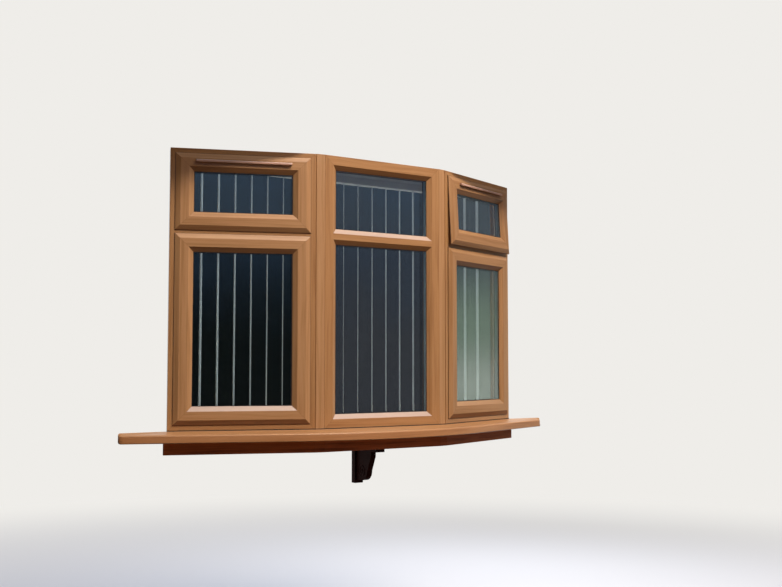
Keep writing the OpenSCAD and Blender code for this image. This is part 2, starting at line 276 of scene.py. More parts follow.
feed(floorSurface, {"Base Color": mixed(floorTree, seenFloor, studio["ground"], studio["paper"]),
                    "Roughness": 0.95, "Specular IOR Level": 0.1})
inFloor = scaled(floorTree, objectPlace(floorTree), (1, 1, 0))
away = addNode(floorTree, "VectorMath", {0: inFloor}, operation="LENGTH").outputs["Value"]
fade = ranged(floorTree, away, studio["nearFloor"], studio["farFloor"], curve="SMOOTHSTEP")
glow = addNode(floorTree, "Emission", {"Color": studio["pale"], "Strength": studio["paleStrength"]})
setSurface(floorTree, addNode(floorTree, "MixShader", {0: maths(floorTree, "MULTIPLY", fade, seenFloor),
                                                       1: floorSurface, 2: glow}))


def stageCard(name, corners, material):
    # A flat card that belongs to the stage alone
    mesh = bpy.data.meshes.new(name)
    mesh.from_pydata(corners, [], [(0, 1, 2, 3)])
    mesh.materials.append(material)
    card = bpy.data.objects.new(name, mesh)
    scene.collection.objects.link(card)
    return card


def standing(y, x0, x1, z0, z1):
    # Corners of a card that stands along X
    return [(x0, y, z0), (x1, y, z0), (x1, y, z1), (x0, y, z1)]


def beside(x, y0, y1, z0, z1):
    # Corners of a card that stands along Y
    return [(x, y0, z0), (x, y1, z0), (x, y1, z1), (x, y0, z1)]


def flatAt(z, x0, x1, y0, y1):
    # Corners of a card that lies flat
    return [(x0, y0, z), (x1, y0, z), (x1, y1, z), (x0, y1, z)]


far, drop = studio["reach"], -studio["floorDrop"]
stageCard("floor", flatAt(drop, -far, far, -far, far), floorMaterial)

world = bpy.data.worlds.new("studio")
scene.world = world
world.use_nodes = True
sky = world.node_tree
sky.nodes.clear()
upwards = axes(sky, addNode(sky, "TexCoord").outputs["Generated"])[2]
fillStrength = ranged(sky, upwards, 0.0, studio["skyFull"], studio["skyStrength"] * studio["horizonShare"],
                      studio["skyStrength"])
fill = addNode(sky, "Background", {"Color": studio["sky"], "Strength": fillStrength})
backdrop = addNode(sky, "Background", {"Color": studio["pale"], "Strength": studio["paleStrength"]})
shown = addNode(sky, "MixShader", {0: seenShare(sky), 1: fill, 2: backdrop})
addNode(sky, "OutputWorld", {"Surface": shown})

lamps = {
    # name: place, aim, width and depth in metres, watts, tone
    "overhead": ((1.0, -2.3, 4.4), (0.2, -0.4, 0.6), 5.0, 2.2, 80.0, "lampTone"),
    "front": ((0.5, -4.8, 5.5), (0.0, -0.1, 0.6), 3.2, 2.4, 405.0, "lampTone"),
    "indoor": ((3.0, 2.2, 2.2), (0.0, 0.0, 0.6), 2.4, 1.6, 130.0, "roomTone"),
}
for name, (place, aim, across, deep, watts, lampHue) in lamps.items():
    lamp = bpy.data.lights.new(name, "AREA")
    lamp.shape = "RECTANGLE"
    lamp.size = across
    lamp.size_y = deep
    lamp.energy = watts
    lamp.color = linear(studio[lampHue])[:3]
    holder = bpy.data.objects.new(name, lamp)
    holder.location = place
    holder.rotation_euler = (Vector(aim) - Vector(place)).to_track_quat("-Z", "Y").to_euler()
    holder.visible_camera = False
    holder.visible_glossy = name != "indoor"    # that one only lights the blind
    scene.collection.objects.link(holder)

# A graded card before the window, which only gloss meets: it keeps the panes dark
cardMaterial, cardTree, cardSurface = newMaterial("gradedCard")
cardPlace = objectPlace(cardTree)
cardAxes = axes(cardTree, cardPlace)
cardCloud = noise(cardTree, cardPlace, 0.9, 4.0, 0.6)
cardLift = maths(cardTree, "MULTIPLY_ADD", cardCloud, studio["cardCloud"], cardAxes[2])
cardShare = ranged(cardTree, cardLift, *studio["cardRise"], curve="SMOOTHSTEP")
cardAcross = ranged(cardTree, cardAxes[0], *studio["cardSpan"], curve="SMOOTHSTEP")
cardFoot = mixed(cardTree, cardAcross, studio["cardLow"], studio["cardMiddle"])
feed(cardSurface, {"Emission Color": mixed(cardTree, cardShare, cardFoot, studio["cardHigh"])})
sideMaterial, sideTree, sideSurface = newMaterial("sideCard")
sideHeight = axes(sideTree, objectPlace(sideTree))[2]
sideShare = ranged(sideTree, sideHeight, *studio["sideRise"], curve="SMOOTHSTEP")
footAway = maths(sideTree, "ABSOLUTE", maths(sideTree, "SUBTRACT", sideHeight, studio["footLevel"]))
footShare = ranged(sideTree, footAway, 0.0, studio["footReach"], curve="SMOOTHSTEP")
sideBase = mixed(sideTree, footShare, studio["sideFoot"], studio["sideLow"])
feed(sideSurface, {"Emission Color": mixed(sideTree, sideShare, sideBase, studio["sideHigh"])})
dimMaterial, dimTree, dimSurface = newMaterial("dimCard")
feed(dimSurface, {"Emission Color": studio["dimCard"]})
cards = {
    "gradedCard": (standing(-7.5, -7, 9, drop, 6), cardMaterial, cardSurface),
    "sideCard": (beside(9, -7.5, 2, drop, 6), sideMaterial, sideSurface),
    "groundCard": (flatAt(drop + 0.01, -7, 9, -7.5, 0.3), dimMaterial, dimSurface),
    "leftCard": (beside(-3.4, -5, 0.3, drop, 3.5), dimMaterial, dimSurface),
}
for name, (corners, material, surface) in cards.items():
    feed(surface, {"Base Color": "#000000", "Specular IOR Level": 0.0, "Emission Strength": 1.0})
    card = stageCard(name, corners, material)
    card.visible_camera = False
    card.visible_diffuse = name == "leftCard"   # which also takes fill light off the slopes that face it
    card.visible_shadow = False

# Flags beside the middle frame keep the lamps off the head of the bay where its facets lie back
flagMaterial, flagTree, flagSurface = newMaterial("flagCloth")
feed(flagSurface, {"Base Color": studio["flag"], "Roughness": 0.9})
setSurface(flagTree, addNode(flagTree, "MixShader", {0: studio["flagThin"], 1: flagSurface,
                                                     2: addNode(flagTree, "BsdfTransparent")}))
flagLevel, flagFront = level + frameHeight + studio["flagRise"], cornerC.y + studio["flagBack"]
flagEnd = -studio["flagReach"]
facetSlope = (cornerA.y - cornerB.y) / (cornerA.x - cornerB.x)
flagStart = cornerB.x + (flagFront - cornerB.y) / facetSlope
flagPlan = [(flagStart, flagFront), (flagStart - studio["flagBlunt"], flagFront),
            (flagEnd, cornerB.y + (flagEnd - cornerB.x) * facetSlope), (flagEnd, flagFront)]
for name, sign in (("leftFlag", 1), ("rightFlag", -1)):
    flag = stageCard(name, [(x * sign, y, flagLevel) for x, y in flagPlan], flagMaterial)
    flag.visible_camera = False
    flag.visible_transmission = False

# A dark room behind the panes: only what is seen through glass meets it
roomMaterial, roomTree, roomSurface = newMaterial("darkRoom")
feed(roomSurface, {"Base Color": studio["roomDark"], "Roughness": 1.0})
room = stageCard("roomCard", standing(0.45, -3, 5, -1, 3), roomMaterial)
room.visible_camera = False
room.visible_diffuse = False
room.visible_glossy = False
room.visible_shadow = False
print("stage ready")


# Shapes: a closed profile carried along a path. A profile is an array of (across, deep) points.
def rounded(corners, radii, steps=4):
    # Each corner of a closed outline becomes an arc of its radius; returns points, normals and girth
    points = np.array(corners, float)
    ahead = np.roll(points, -1, 0)
    if np.sum(points[:, 0] * ahead[:, 1] - ahead[:, 0] * points[:, 1]) < 0:
        points = points[::-1]
        radii = radii[::-1] if hasattr(radii, "__len__") else radii
    before, after = np.roll(points, 1, 0), np.roll(points, -1, 0)
    inLen = np.linalg.norm(points - before, axis=1)
    outLen = np.linalg.norm(after - points, axis=1)
    inWay = (points - before) / inLen[:, None]
    outWay = (after - points) / outLen[:, None]
    bend = np.arctan2(inWay[:, 0] * outWay[:, 1] - inWay[:, 1] * outWay[:, 0],
                      np.sum(inWay * outWay, 1))
    half = np.maximum(np.tan(np.abs(bend) / 2), 1e-6)
    radius = np.minimum(np.broadcast_to(radii, bend.shape), 0.45 * np.minimum(inLen, outLen) / half)
    start = points - inWay * (radius * half)[:, None]
    firstNormal = np.stack([inWay[:, 1], -inWay[:, 0]], 1)
    angle = bend[:, None] * np.linspace(0, 1, steps + 1)[None, :]
    c, s = np.cos(angle), np.sin(angle)
    normal = np.stack([firstNormal[:, None, 0] * c - firstNormal[:, None, 1] * s,
                       firstNormal[:, None, 0] * s + firstNormal[:, None, 1] * c], 2)
    arc = start[:, None] + (np.sign(bend) * radius)[:, None, None] * (normal - firstNormal[:, None])
    arc = arc.reshape(-1, 2)
    girth = np.cumsum(np.linalg.norm(np.roll(arc, -1, 0) - arc, axis=1))
    return {"points": arc, "normals": normal.reshape(-1, 2), "girth": np.concatenate([[0.0], girth])}


def carry(profile, station, along, mitre, closed=False, slide=None, inset=None):
    # Each profile point (e, n) at each station is origin + across * e + deep * n + slide.
    # Each stretch between two stations has the faces' own axes at both ends, and there along and mitre
    # give the metres of grain and to the nearest mitre for each profile point
    p, normals = profile["points"], profile["normals"]
    count = len(p)
    spots = np.repeat(p[None], len(station["origin"]), 0) if inset is None else inset
    v = (station["origin"][:, None] + station["across"][:, None] * spots[:, :, :1]
         + station["deep"][:, None] * spots[:, :, 1:])
    if slide is not None:
        v = v + slide
    stations = len(v)
    s = np.arange(stations if closed else stations - 1)[:, None]
    t = (s + 1) % stations
    i = np.arange(count)[None, :]
    j = (i + 1) % count
    quads = np.stack([s * count + i, t * count + i, t * count + j, s * count + j], 2).reshape(-1, 4)
    v = v.reshape(-1, 3)

    def atCorners(ends):
        # From values at the two ends of each stretch to those at the four corners of each face
        return np.stack([ends[:, 0], ends[:, 1], np.roll(ends[:, 1], -1, 1), np.roll(ends[:, 0], -1, 1)], 2)

    loops = atCorners(station["faceAcross"][:, :, None] * normals[None, None, :, :1]
                      + station["faceDeep"][:, :, None] * normals[None, None, :, 1:]).reshape(-1, 4, 3)
    g = np.broadcast_to(profile["girth"], (len(s), count + 1))
    w = np.stack([g[:, :-1], g[:, :-1], g[:, 1:], g[:, 1:]], 2).reshape(-1, 4)
    u, m = atCorners(along).reshape(-1, 4), atCorners(mitre).reshape(-1, 4)
    corner = v[quads]
    facing = np.cross(corner[:, 1] - corner[:, 0], corner[:, 2] - corner[:, 1])
    if np.sum(facing * loops.mean(1)) < 0:
        quads, loops, u, w, m = quads[:, ::-1], loops[:, ::-1], u[:, ::-1], w[:, ::-1], m[:, ::-1]
    part = {"v": v, "faces": quads.tolist(), "n": loops.reshape(-1, 3),
            "grain": np.stack([u, w], 2).reshape(-1, 2),
            "mitre": np.stack([m, m * 0], 2).reshape(-1, 2)}
    if closed:
        return part
    for rim, inner in ((np.arange(count), v[count:2 * count]),
                       (np.arange(count) + (stations - 1) * count, v[-2 * count:-count])):
        r = v[rim]
        outwards = r.mean(0) - inner.mean(0)
        outwards = outwards / np.linalg.norm(outwards)
        area = np.sum(np.cross(r, np.roll(r, -1, 0)), 0)
        rim = rim if area @ outwards > 0 else rim[::-1]
        part["faces"].append(rim.tolist())
        part["n"] = np.vstack([part["n"], np.repeat(outwards[None], count, 0)])
        part["grain"] = np.vstack([part["grain"], p[rim % count]])
        part["mitre"] = np.vstack([part["mitre"], np.full((count, 2), 1.0)])
    return part


# Metres of printed grain at which each piece starts, so that no two look alike
seeds = {
    "left": 3.0, "centre": 17.0, "right": 31.0,         # the facets' frames
    "transom": 5.0, "stop": 6.0, "post": 9.0,           # further on from those
    "sash": 50.0, "bead": 60.0, "fixedBead": 110.0, "hood": 140.0, "sill": 200.0, "apron": 300.0,
    "nextRail": 1.37, "nextLight": 11.0, "nextHood": 1.0,
}


def ring(width, height, corners, radii, seed=0.0):
    # Mitred ring: a closed path through four corners and the middles of the four rails
    profile = rounded([(e, n) for n, e in corners], radii)
    midX, midZ = width / 2, height / 2
    origin = np.array([(0, 0, 0), (midX, 0, 0), (width, 0, 0), (width, 0, midZ), (width, 0, height),
                       (midX, 0, height), (0, 0, height), (0, 0, midZ)], float)
    across = np.array([(1, 0, 1), (0, 0, 1), (-1, 0, 1), (-1, 0, 0),
                       (-1, 0, -1), (0, 0, -1), (1, 0, -1), (1, 0, 0)], float)
    station = {"origin": origin, "across": across, "deep": np.tile((0.0, 1.0, 0.0), (8, 1)),
               "faceAcross": np.repeat(across[1::2], 2, 0)[:, None].repeat(2, 1),
               "faceDeep": np.tile((0.0, 1.0, 0.0), (8, 2, 1))}
    e = profile["points"][:, 0]
    x = origin[:, None, 0] + across[:, None, 0] * e
    z = origin[:, None, 2] + across[:, None, 2] * e
    lying = np.array([1, 1, 0, 0, 1, 1, 0, 0], bool)[:, None]
    ends = [np.where(lying, x, z), np.where(lying, np.roll(x, -1, 0), np.roll(z, -1, 0))]
    along = np.stack(ends, 1) + (seed + seeds["nextRail"] * (np.arange(8) // 2)[:, None, None])
    length = np.where(lying, (width - 2 * e) / 2, (height - 2 * e) / 2)
    atCorner = (np.arange(8) % 2 == 0)[:, None]
    mitre = np.stack([np.where(atCorner, 0.0, length), np.where(atCorner, length, 0.0)], 1)
    return carry(profile, station, along, mitre, closed=True)


def bar(start, end, corners, radii, seed=0.0, cut=None, acrossAxis=(0, 1, 0), deepAxis=(0, 0, 1)):
    # Straight bar from start to end; cut gives how far each end is taken back at each profile point
    profile = rounded(corners, radii)
    a, b = np.array(start, float), np.array(end, float)
    length = np.linalg.norm(b - a)
    across, deep = np.array(acrossAxis, float), np.array(deepAxis, float)
    station = {"origin": np.stack([a, (a + b) / 2, b]), "across": np.tile(across, (3, 1)),
               "deep": np.tile(deep, (3, 1)), "faceAcross": np.tile(across, (2, 2, 1)),
               "faceDeep": np.tile(deep, (2, 2, 1))}
    back = np.zeros(len(profile["points"])) if cut is None else cut(profile["points"])
    slide = np.stack([back, back * 0, -back])[:, :, None] * ((b - a) / length)
    at = np.stack([back, back * 0 + length / 2, length - back]) + seed
    along = np.stack([at[:-1], at[1:]], 1)
    return carry(profile, station, along, along * 0 + 1.0, slide=slide)


def boxPart(low, high, radius):
    # A block with its four edges along Y rounded
    corners = [(low[0], low[2]), (high[0], low[2]), (high[0], high[2]), (low[0], high[2])]
    return bar((0, low[1], 0), (0, high[1], 0), corners, radius, acrossAxis=(1, 0, 0))


def inPlan(vectors):
    # Plan vectors get a height of zero
    return np.pad(np.array(vectors), ((0, 0), (0, 1)))


def planStation(path, across, faceStarts, faceEnds, height):
    # Stations of a level path: across and the faces' normals lie in plan, and deep points up
    up = (0.0, 0.0, 1.0)
    return {"origin": np.column_stack([path, np.full(len(path), height)]), "across": inPlan(across),
            "deep": np.tile(up, (len(path), 1)), "faceDeep": np.tile(up, (len(faceStarts), 2, 1)),
            "faceAcross": np.stack([inPlan(faceStarts), inPlan(faceEnds)], 1)}


def moved(points, matrix):
    # Each point turned and then shifted
    return points @ np.array(matrix.to_3x3()).T + np.array(matrix.to_translation())


def placed(part, matrix):
    # The same part with its points moved and its normals turned
    return {**part, "v": moved(part["v"], matrix), "n": part["n"] @ np.array(matrix.to_3x3()).T}


def smoothMesh(name, vertices, faces):
    # A mesh whose faces are all shaded smooth
    mesh = bpy.data.meshes.new(name)
    mesh.from_pydata(vertices.tolist(), [], faces)
    mesh.polygons.foreach_set("use_smooth", np.ones(len(faces), bool))
    return mesh


def finishPiece(name, mesh, material, slot, *stoodFor):
    # The piece rides the one body, and stands for the CAD nodes that are named
    mesh.materials.append(material)
    piece = bpy.data.objects.new(name, mesh)
    scene.collection.objects.link(piece)
    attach(piece, root)
    if stoodFor:
        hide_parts(*stoodFor)
    return piece


def makePiece(name, parts, material, slot, *stoodFor, at=Matrix.Identity(4)):
    # Parts are joined in one mesh, with their own normals and with grain and mitre as UV maps
    parts = [placed(part, at) for part in parts]
    base = np.cumsum([0] + [len(part["v"]) for part in parts])
    faces = [[k + int(b) for k in face] for part, b in zip(parts, base) for face in part["faces"]]
    mesh = smoothMesh(name, np.vstack([part["v"] for part in parts]), faces)
    for key in ("grain", "mitre"):
        layer = mesh.uv_layers.new(name=key)
        layer.data.foreach_set("uv", np.vstack([part[key] for part in parts]).ravel())
    mesh.normals_split_custom_set(np.vstack([part["n"] for part in parts]).tolist())
    return finishPiece(name, mesh, material, slot, *stoodFor)


# Golden oak film pressed on plastic profile: satin, with a printed grain along every rail,
# so the eye sees soft brown streaks and a hairline at each welded mitre
foil = {
    "base": "#B5865A",
    "light": "#BD9064",
    "dark": "#A5784C",
    "weld": "#552E18",
    "sway": 0.018,           # metres that a streak wanders
    "figure": 15.0,          # mm between the broad streaks
    "figureLength": 520.0,
    "pore": 1.5,             # mm, drawn coarser than the real 0.4 so that it shows
    "poreLength": 48.0,
    "poreShare": 0.34,
    "roughness": 0.37,
    "specular": 0.4,
    "weldWidth": 0.9,        # mm, half the hairline
    "weldShare": 0.6,
    "dust": "#D1C3BF",       # pale film on the slopes that face up: partly dust, partly a painted sheen of the sky
    "dustShare": 0.54,
    "dustHigh": 0.12,        # how much of that is left high up: less painted sheen there paints the shade under the head
    "grime": "#4A1E0B",      # painted shade: a brown film on the slopes that face down
    "grimeShare": 0.72,
    "grimeHigh": 0.62,
    "fullBelow": 0.30,             # metres above the origin up to which the films of dust, painted sheen and painted shade are full
    "fadedAbove": 0.80,             # and from where only the share above is left
}
# Height of the normal where each film starts and where it is full
filmSlopes = {"dust": (0.12, 0.60), "grime": (-0.12, -0.60)}


def foilMaterial(name, **changes):
    # Streaks and pores from two stretched noises, then the weld's line, then both films: dust with a painted
    # sky sheen on slopes that face up, painted shade on slopes that face down
    tone = {**foil, **changes}
    material, tree, surface = newMaterial(name)
    grain, mitre = (addNode(tree, "UVMap", uv_map=key) for key in ("grain", "mitre"))
    sway = noise(tree, grain, 2.4, 1.0, noise_dimensions="2D")
    swayed = addNode(tree, "VectorMath", {0: sway.outputs["Color"], 1: (0.0, tone["sway"], 0.0), 2: grain},
                     operation="MULTIPLY_ADD")
    wide = scaled(tree, swayed, (1 / (tone["figureLength"] * mm), 1 / (tone["figure"] * mm), 0))
    figure = noise(tree, wide, 1.0, 4.0, 0.6, noise_dimensions="2D")
    fine = scaled(tree, swayed, (1 / (tone["poreLength"] * mm), 1 / (tone["pore"] * mm), 0))
    pore = noise(tree, fine, 1.0, 2.0, 0.65, noise_dimensions="2D")
    ramp = addNode(tree, "ValToRGB", {0: figure})
    ramp.color_ramp.elements[0].position = 0.30
    ramp.color_ramp.elements[0].color = linear(tone["dark"])
    ramp.color_ramp.elements[1].position = 0.72
    ramp.color_ramp.elements[1].color = linear(tone["light"])
    ramp.color_ramp.elements.new(0.48).color = linear(tone["base"])
    pored = mixed(tree, ranged(tree, pore, 0.50, 0.78, 0.0, tone["poreShare"]), ramp, tone["dark"])
    weld = ranged(tree, axes(tree, mitre)[0], 0.0, tone["weldWidth"] * mm, tone["weldShare"], 0.0)
    coated = mixed(tree, weld, pored, tone["weld"])
    facing = axes(tree, addNode(tree, "NewGeometry").outputs["Normal"])[2]
    height = axes(tree, objectPlace(tree))[2]
    # The pale film is dust and painted sky sheen, the dark one painted shade; each fades with height to its
    # share high up
    for film, slopes in filmSlopes.items():
        full = tone[film + "Share"]
        most = ranged(tree, height, tone["fullBelow"], tone["fadedAbove"], full, full * tone[film + "High"])
        share = ranged(tree, facing, *slopes, 0.0, most, curve="SMOOTHSTEP")
        coated = mixed(tree, share, coated, tone[film])
    feed(surface, {
        "Base Color": coated, "Specular IOR Level": tone["specular"],
        "Roughness": ranged(tree, figure, 0.0, 1.0, tone["roughness"] + 0.05, tone["roughness"] - 0.05),
        "Normal": addNode(tree, "Bump", {"Height": pore, "Strength": 0.10, "Distance": 0.3 * mm}),
    })
    return material


# Grain and its length are in millimetres, and the length runs along the axis
plain = {"grain": 12.0, "axis": "X", "share": 0.5, "bump": 0.1, "metallic": 0.0, "specular": 0.5}


def solidMaterial(name, colour, dark, roughness, **look):
    # Colour turns to dark in a mottle that is stretched along the grain
    look = {**plain, **look}
    material, tree, surface = newMaterial(name)
    stretch = [1 / (look["grain"] * mm)] * 3
    stretch["XYZ".index(look["axis"])] = 1 / (look.get("length", look["grain"]) * mm)
    mottle = noise(tree, scaled(tree, objectPlace(tree), stretch), 1.0, 5.0, 0.6)
    feed(surface, {
        "Base Color": mixed(tree, ranged(tree, mottle, 0.35, 0.7, 0.0, look["share"]), colour, dark),
        "Roughness": ranged(tree, mottle, 0.0, 1.0, roughness - 0.06, roughness + 0.06),
        "Normal": addNode(tree, "Bump", {"Height": mottle, "Strength": look["bump"], "Distance": 0.5 * mm}),
        "Metallic": look["metallic"], "Specular IOR Level": look["specular"],
    })
    return material


oakFoil = foilMaterial("goldenOakFoil")
# A darker copy of the foil for the right-hand sashes, with less pale film: painted shade on that side
shadedRightFoil = foilMaterial("goldenOakShadedRightFoil", base="#A97B50", light="#B1855A", dark="#996D42",
                       dust="#C6A98C", dustShare=0.2)
# A darker copy of the foil for the frames and transoms, which lie back behind the sashes: painted shade
shadedFrameFoil = foilMaterial("goldenOakShadedFrameFoil", base="#AE7E50", light="#B6885A", dark="#9C6E43",
                         dustHigh=0.85)
beadFoil = foilMaterial("goldenOakBeadFoil", base="#AE7E50", figure=9.0)
sillFoil = foilMaterial("oakSillFoil", base="#B57D50", light="#BE885B", dark="#A06C43", figure=22.0,
                        dust="#B99468", dustShare=0.3, grimeShare=0.2)
# A paler, pinker copy of the foil for the vent hoods: partly their own tone, partly a painted sky highlight
# along them
hoodHighlightFoil = foilMaterial("oakHoodHighlightFoil", base="#B88D78", light="#C09884", dark="#A87C66", figure=9.0,
                        dustHigh=1.0)
apronFoil = foilMaterial("darkOakApron", base="#A85C30", light="#B4683A", dark="#80421F", roughness=0.55,
                         specular=0.12, dustShare=0.0, grimeShare=0.0)
# Moulded rubber: matte near-black, so that each pane and sash reads with a thin dark outline; round each
# sash and under the frames it also stands in for the shadow line in the gap
rubber = solidMaterial("mouldedRubber", "#17181A", "#0C0D0E", 0.6, grain=3.0)
# Anodised aluminium: brushed along, the pale edge that shows just inside the glass
spacerMetal = solidMaterial("anodisedAluminium", "#A9ADAF", "#8F9395", 0.38, grain=0.8, length=30.0,
                            metallic=1.0)
# Powder-coated white metal and moulded white plastic: smooth, faintly mottled
whiteCoat = solidMaterial("powderCoatedWhite", "#E4E3DC", "#D6D4CB", 0.32, grain=1.2, bump=0.05)
whitePlastic = solidMaterial("mouldedWhitePlastic", "#E6E4DD", "#D9D6CC", 0.36, grain=40.0, bump=0.02)

glazing = {
    "tint": "#FAFDFB",           # a faint green from the iron in float glass
    "film": "#F3F7F4",           # and a thin film of dust
    "index": 1.52,
    "sheet": 4.0,                # mm, each of the two sheets of a sealed unit
    "spacerBack": 4.5,           # mm from the rebate to the spacer
    "spacerShort": 0.8,          # and from the spacer to the sight line
    "gasketHeld": 0.6,           # mm of each gasket outside the sight line
    "gasketFront": (1.8, 2.4),   # its thickness and what shows of it, in mm
    "gasketBack": (2.0, 2.0),
    "beadBack": 5.0,             # mm that the bead stands out at its back
    "beadNose": 4.0,             # and its depth at the sight line
    "arris": 0.4,
}
# Float glass: perfectly smooth and faintly green, so that it mirrors what stands before it
floatGlass, glassTree, glassSurface = newMaterial("floatGlass")
glassFilm = noise(glassTree, objectPlace(glassTree), 5.0, 6.0)
feed(glassSurface, {"Base Color": mixed(glassTree, glassFilm, glazing["tint"], glazing["film"]),
                    "Roughness": 0.0, "IOR": glazing["index"], "Transmission Weight": 1.0})
print("materials ready")

# Sections as (depth behind the frame's face, distance from the ring's edge), millimetres
depth, stopAt, back = bay["frameDepth"] / mm, bay["stopDepth"] / mm, bay["sashBack"] / mm
bevel, bevelRun, lip = bay["bevelDepth"] / mm, bay["bevelWidth"] / mm, bay["lip"] / mm
edge, edgeRun = bay["edgeDepth"] / mm, bay["edgeBevel"] / mm
bare, body = frameRebate / mm, (bay["lipCover"] + bay["sashGap"]) / mm
stopIn = bare + bay["stopHeight"] / mm
sight, rebate = sashSight / mm, sashRebate / mm
fixedIn, fixedOut = fixedSight / mm, fixedRebate / mm


def slab(n0, n1, e0, e1, radius=0.35):
    # A plain rectangle from depth n0 to n1 and from distance e0 to e1
    return [(n0, e0), (n1, e0), (n1, e1), (n0, e1)], [radius] * 4


sections = {
    "sideFrame": ([(0, 0), (depth, 0), (depth, stopIn), (stopAt, stopIn), (stopAt, bare), (0, bare)],
                  [1.2, 1.2, 1.5, 0.8, 0.5, 1.2]),
    "centreFrame": ([(0, 0), (depth, 0), (depth, fixedOut), (bevel + lip, fixedOut), (bevel + lip, fixedIn),
                     (bevel, fixedIn), (0, fixedIn - bevelRun)], [1.2, 1.2, 1.0, 0.4, 0.6, 0.8, 3.0]),
    "sash": ([(-bevel, edgeRun), (-edge, 0), (0, 0), (0, body), (back, body), (back, rebate), (lip, rebate),
              (lip, sight), (0, sight), (-bevel, sight - bevelRun)],
             [3.5, 1.6, 0.5, 0.4, 1.0, 1.0, 0.4, 0.6, 0.9, 3.5]),
    "seal": slab(-1.6, 0.0, -1.1, 0.8),
}


def railPart(width, height, section, seed=0.0):
    # A ring of one of the sections above
    corners, radii = section
    return ring(width, height, np.array(corners) * mm, np.array(radii) * mm, seed)


for side in facets:
    section = sections["centreFrame" if side == "centre" else "sideFrame"]
    part = railPart(facetWidth, frameHeight, section, seeds[side])
    makePiece(side + "FrameProfile", [part], shadedFrameFoil, "oak_foil", side + "_frame", at=onFacet(side))


def transomBar(start, corners, radii, seed, cut=None):
    # From start metres beside the facet's edge to as much before its other edge.
    # Section corners are (depth, height above the transom's middle) in millimetres
    middle = bay["transomHeight"]
    return bar((start, 0, middle), (facetWidth - start, 0, middle), np.array(corners) * mm,
               np.array(radii) * mm, seed, cut)


overlap = 1.0   # millimetres that the bar in front reaches into the stop behind it
half = (bay["transomBare"] / 2 + bay["lipCover"]) / mm
tall = half + bay["stopHeight"] / mm
for side in ("left", "right"):
    front = transomBar(frameRebate, *slab(0, stopAt + overlap, -half, half, 1.2),
                       seeds[side] + seeds["transom"])
    stop = transomBar(stopIn * mm, *slab(stopAt, depth, -tall, tall, 1.2), seeds[side] + seeds["stop"])
    makePiece(side + "TransomBar", [front, stop], shadedFrameFoil, "oak_foil", side + "_transom", at=onFacet(side))


def centreEnds(points):
    # The transom's ends follow the frame: out to the bevel's foot at its lip, back behind it
    n = points[:, 0] / mm
    outside = n < bevel + lip + 0.05
    return np.where(outside, np.interp(n, [0, bevel], [0, bevelRun]), fixedOut - fixedIn + bevelRun) * mm


face = bay["transomFace"] / mm / 2
trunk = face + fixedOut - fixedIn + bevelRun
lowerHalf = [(0, -face), (bevel, -face - bevelRun), (bevel + lip, -face - bevelRun), (bevel + lip, -trunk),
             (depth, -trunk)]
lowerRadii = [3.0, 0.8, 0.6, 0.4, 1.2]
part = transomBar(bay["fixedFace"], lowerHalf + [(n, -z) for n, z in lowerHalf[::-1]],
                  lowerRadii + lowerRadii[::-1], seeds["centre"] + seeds["transom"], centreEnds)
makePiece("centreTransomBar", [part], shadedFrameFoil, "oak_foil", "centre_transom", at=onFacet("centre"))

# The bay in plan: its outdoor corners from left to right, and the ways out of its five faces and mitres
leftCorners = [np.array(corner) for corner in (cornerA, cornerB, cornerC)]
bayCorners = np.array(leftCorners + [corner * (-1, 1) for corner in leftCorners[::-1]])
outward = np.array([(-math.sin(share * facetTurn), -math.cos(share * facetTurn))
                    for share in (1, 0.5, 0, -0.5, -1)])
mitres = np.array([(one + two) / (1 + one @ two) for one, two in zip(outward, outward[1:])])

# Corner posts: the space between two facets' ends, with a groove beside the side frame
post = {"groove": 5.0, "arris": 1.5, "radius": 1.0}   # millimetres
b, c = bayCorners[1] / mm, bayCorners[2] / mm
way = (c - b) / np.linalg.norm(c - b)
inSide, inCentre = -outward[0], -outward[2]
postPlan = np.array([b + post["groove"] * way, c - post["arris"] * way, c + post["arris"] * inCentre,
                     c + depth * inCentre, b + depth * inSide, b + post["groove"] * inSide]) * mm
for side, sign in (("left", 1), ("right", -1)):
    part = bar((0, 0, level), (0, 0, level + frameHeight), postPlan * (sign, 1), post["radius"] * mm,
               seeds[side] + seeds["post"], acrossAxis=(1, 0, 0), deepAxis=(0, 1, 0))
    makePiece(side + "CornerPost", [part], oakFoil, "oak_foil", side + "_post")
print("frames ready")

# Sashes with their seals, panes and beads
lights = {
    # name: matrix, height, sash, beads' node, glass node
    "leftCasement": (onCasement("left"), lowerHeight, "left_casement", "left_beads", "left_lower_glass"),
    "leftTopLight": (onTopLight("left"), upperHeight, "left_top_light", "left_beads", "left_upper_glass"),
    "rightCasement": (onCasement("right"), lowerHeight, "right_casement", "right_beads",
                      "right_lower_glass"),
    "rightTopLight": (onTopLight("right"), upperHeight, "right_top_light", "right_top_beads",
                      "right_upper_glass"),
}
fixedTop = bay["transomHeight"] - bay["transomFace"] / 2 + bay["fixedFace"]
fixedFoot = bay["transomHeight"] + bay["transomFace"] / 2 - bay["fixedFace"]
fixedLights = {
    "centreLower": (onFacet("centre"), fixedTop, "centre_beads", "centre_lower_glass"),
    "centreUpper": (onFacet("centre") @ shift(0, 0, fixedFoot), frameHeight - fixedFoot, "centre_beads",
                    "centre_upper_glass"),
}


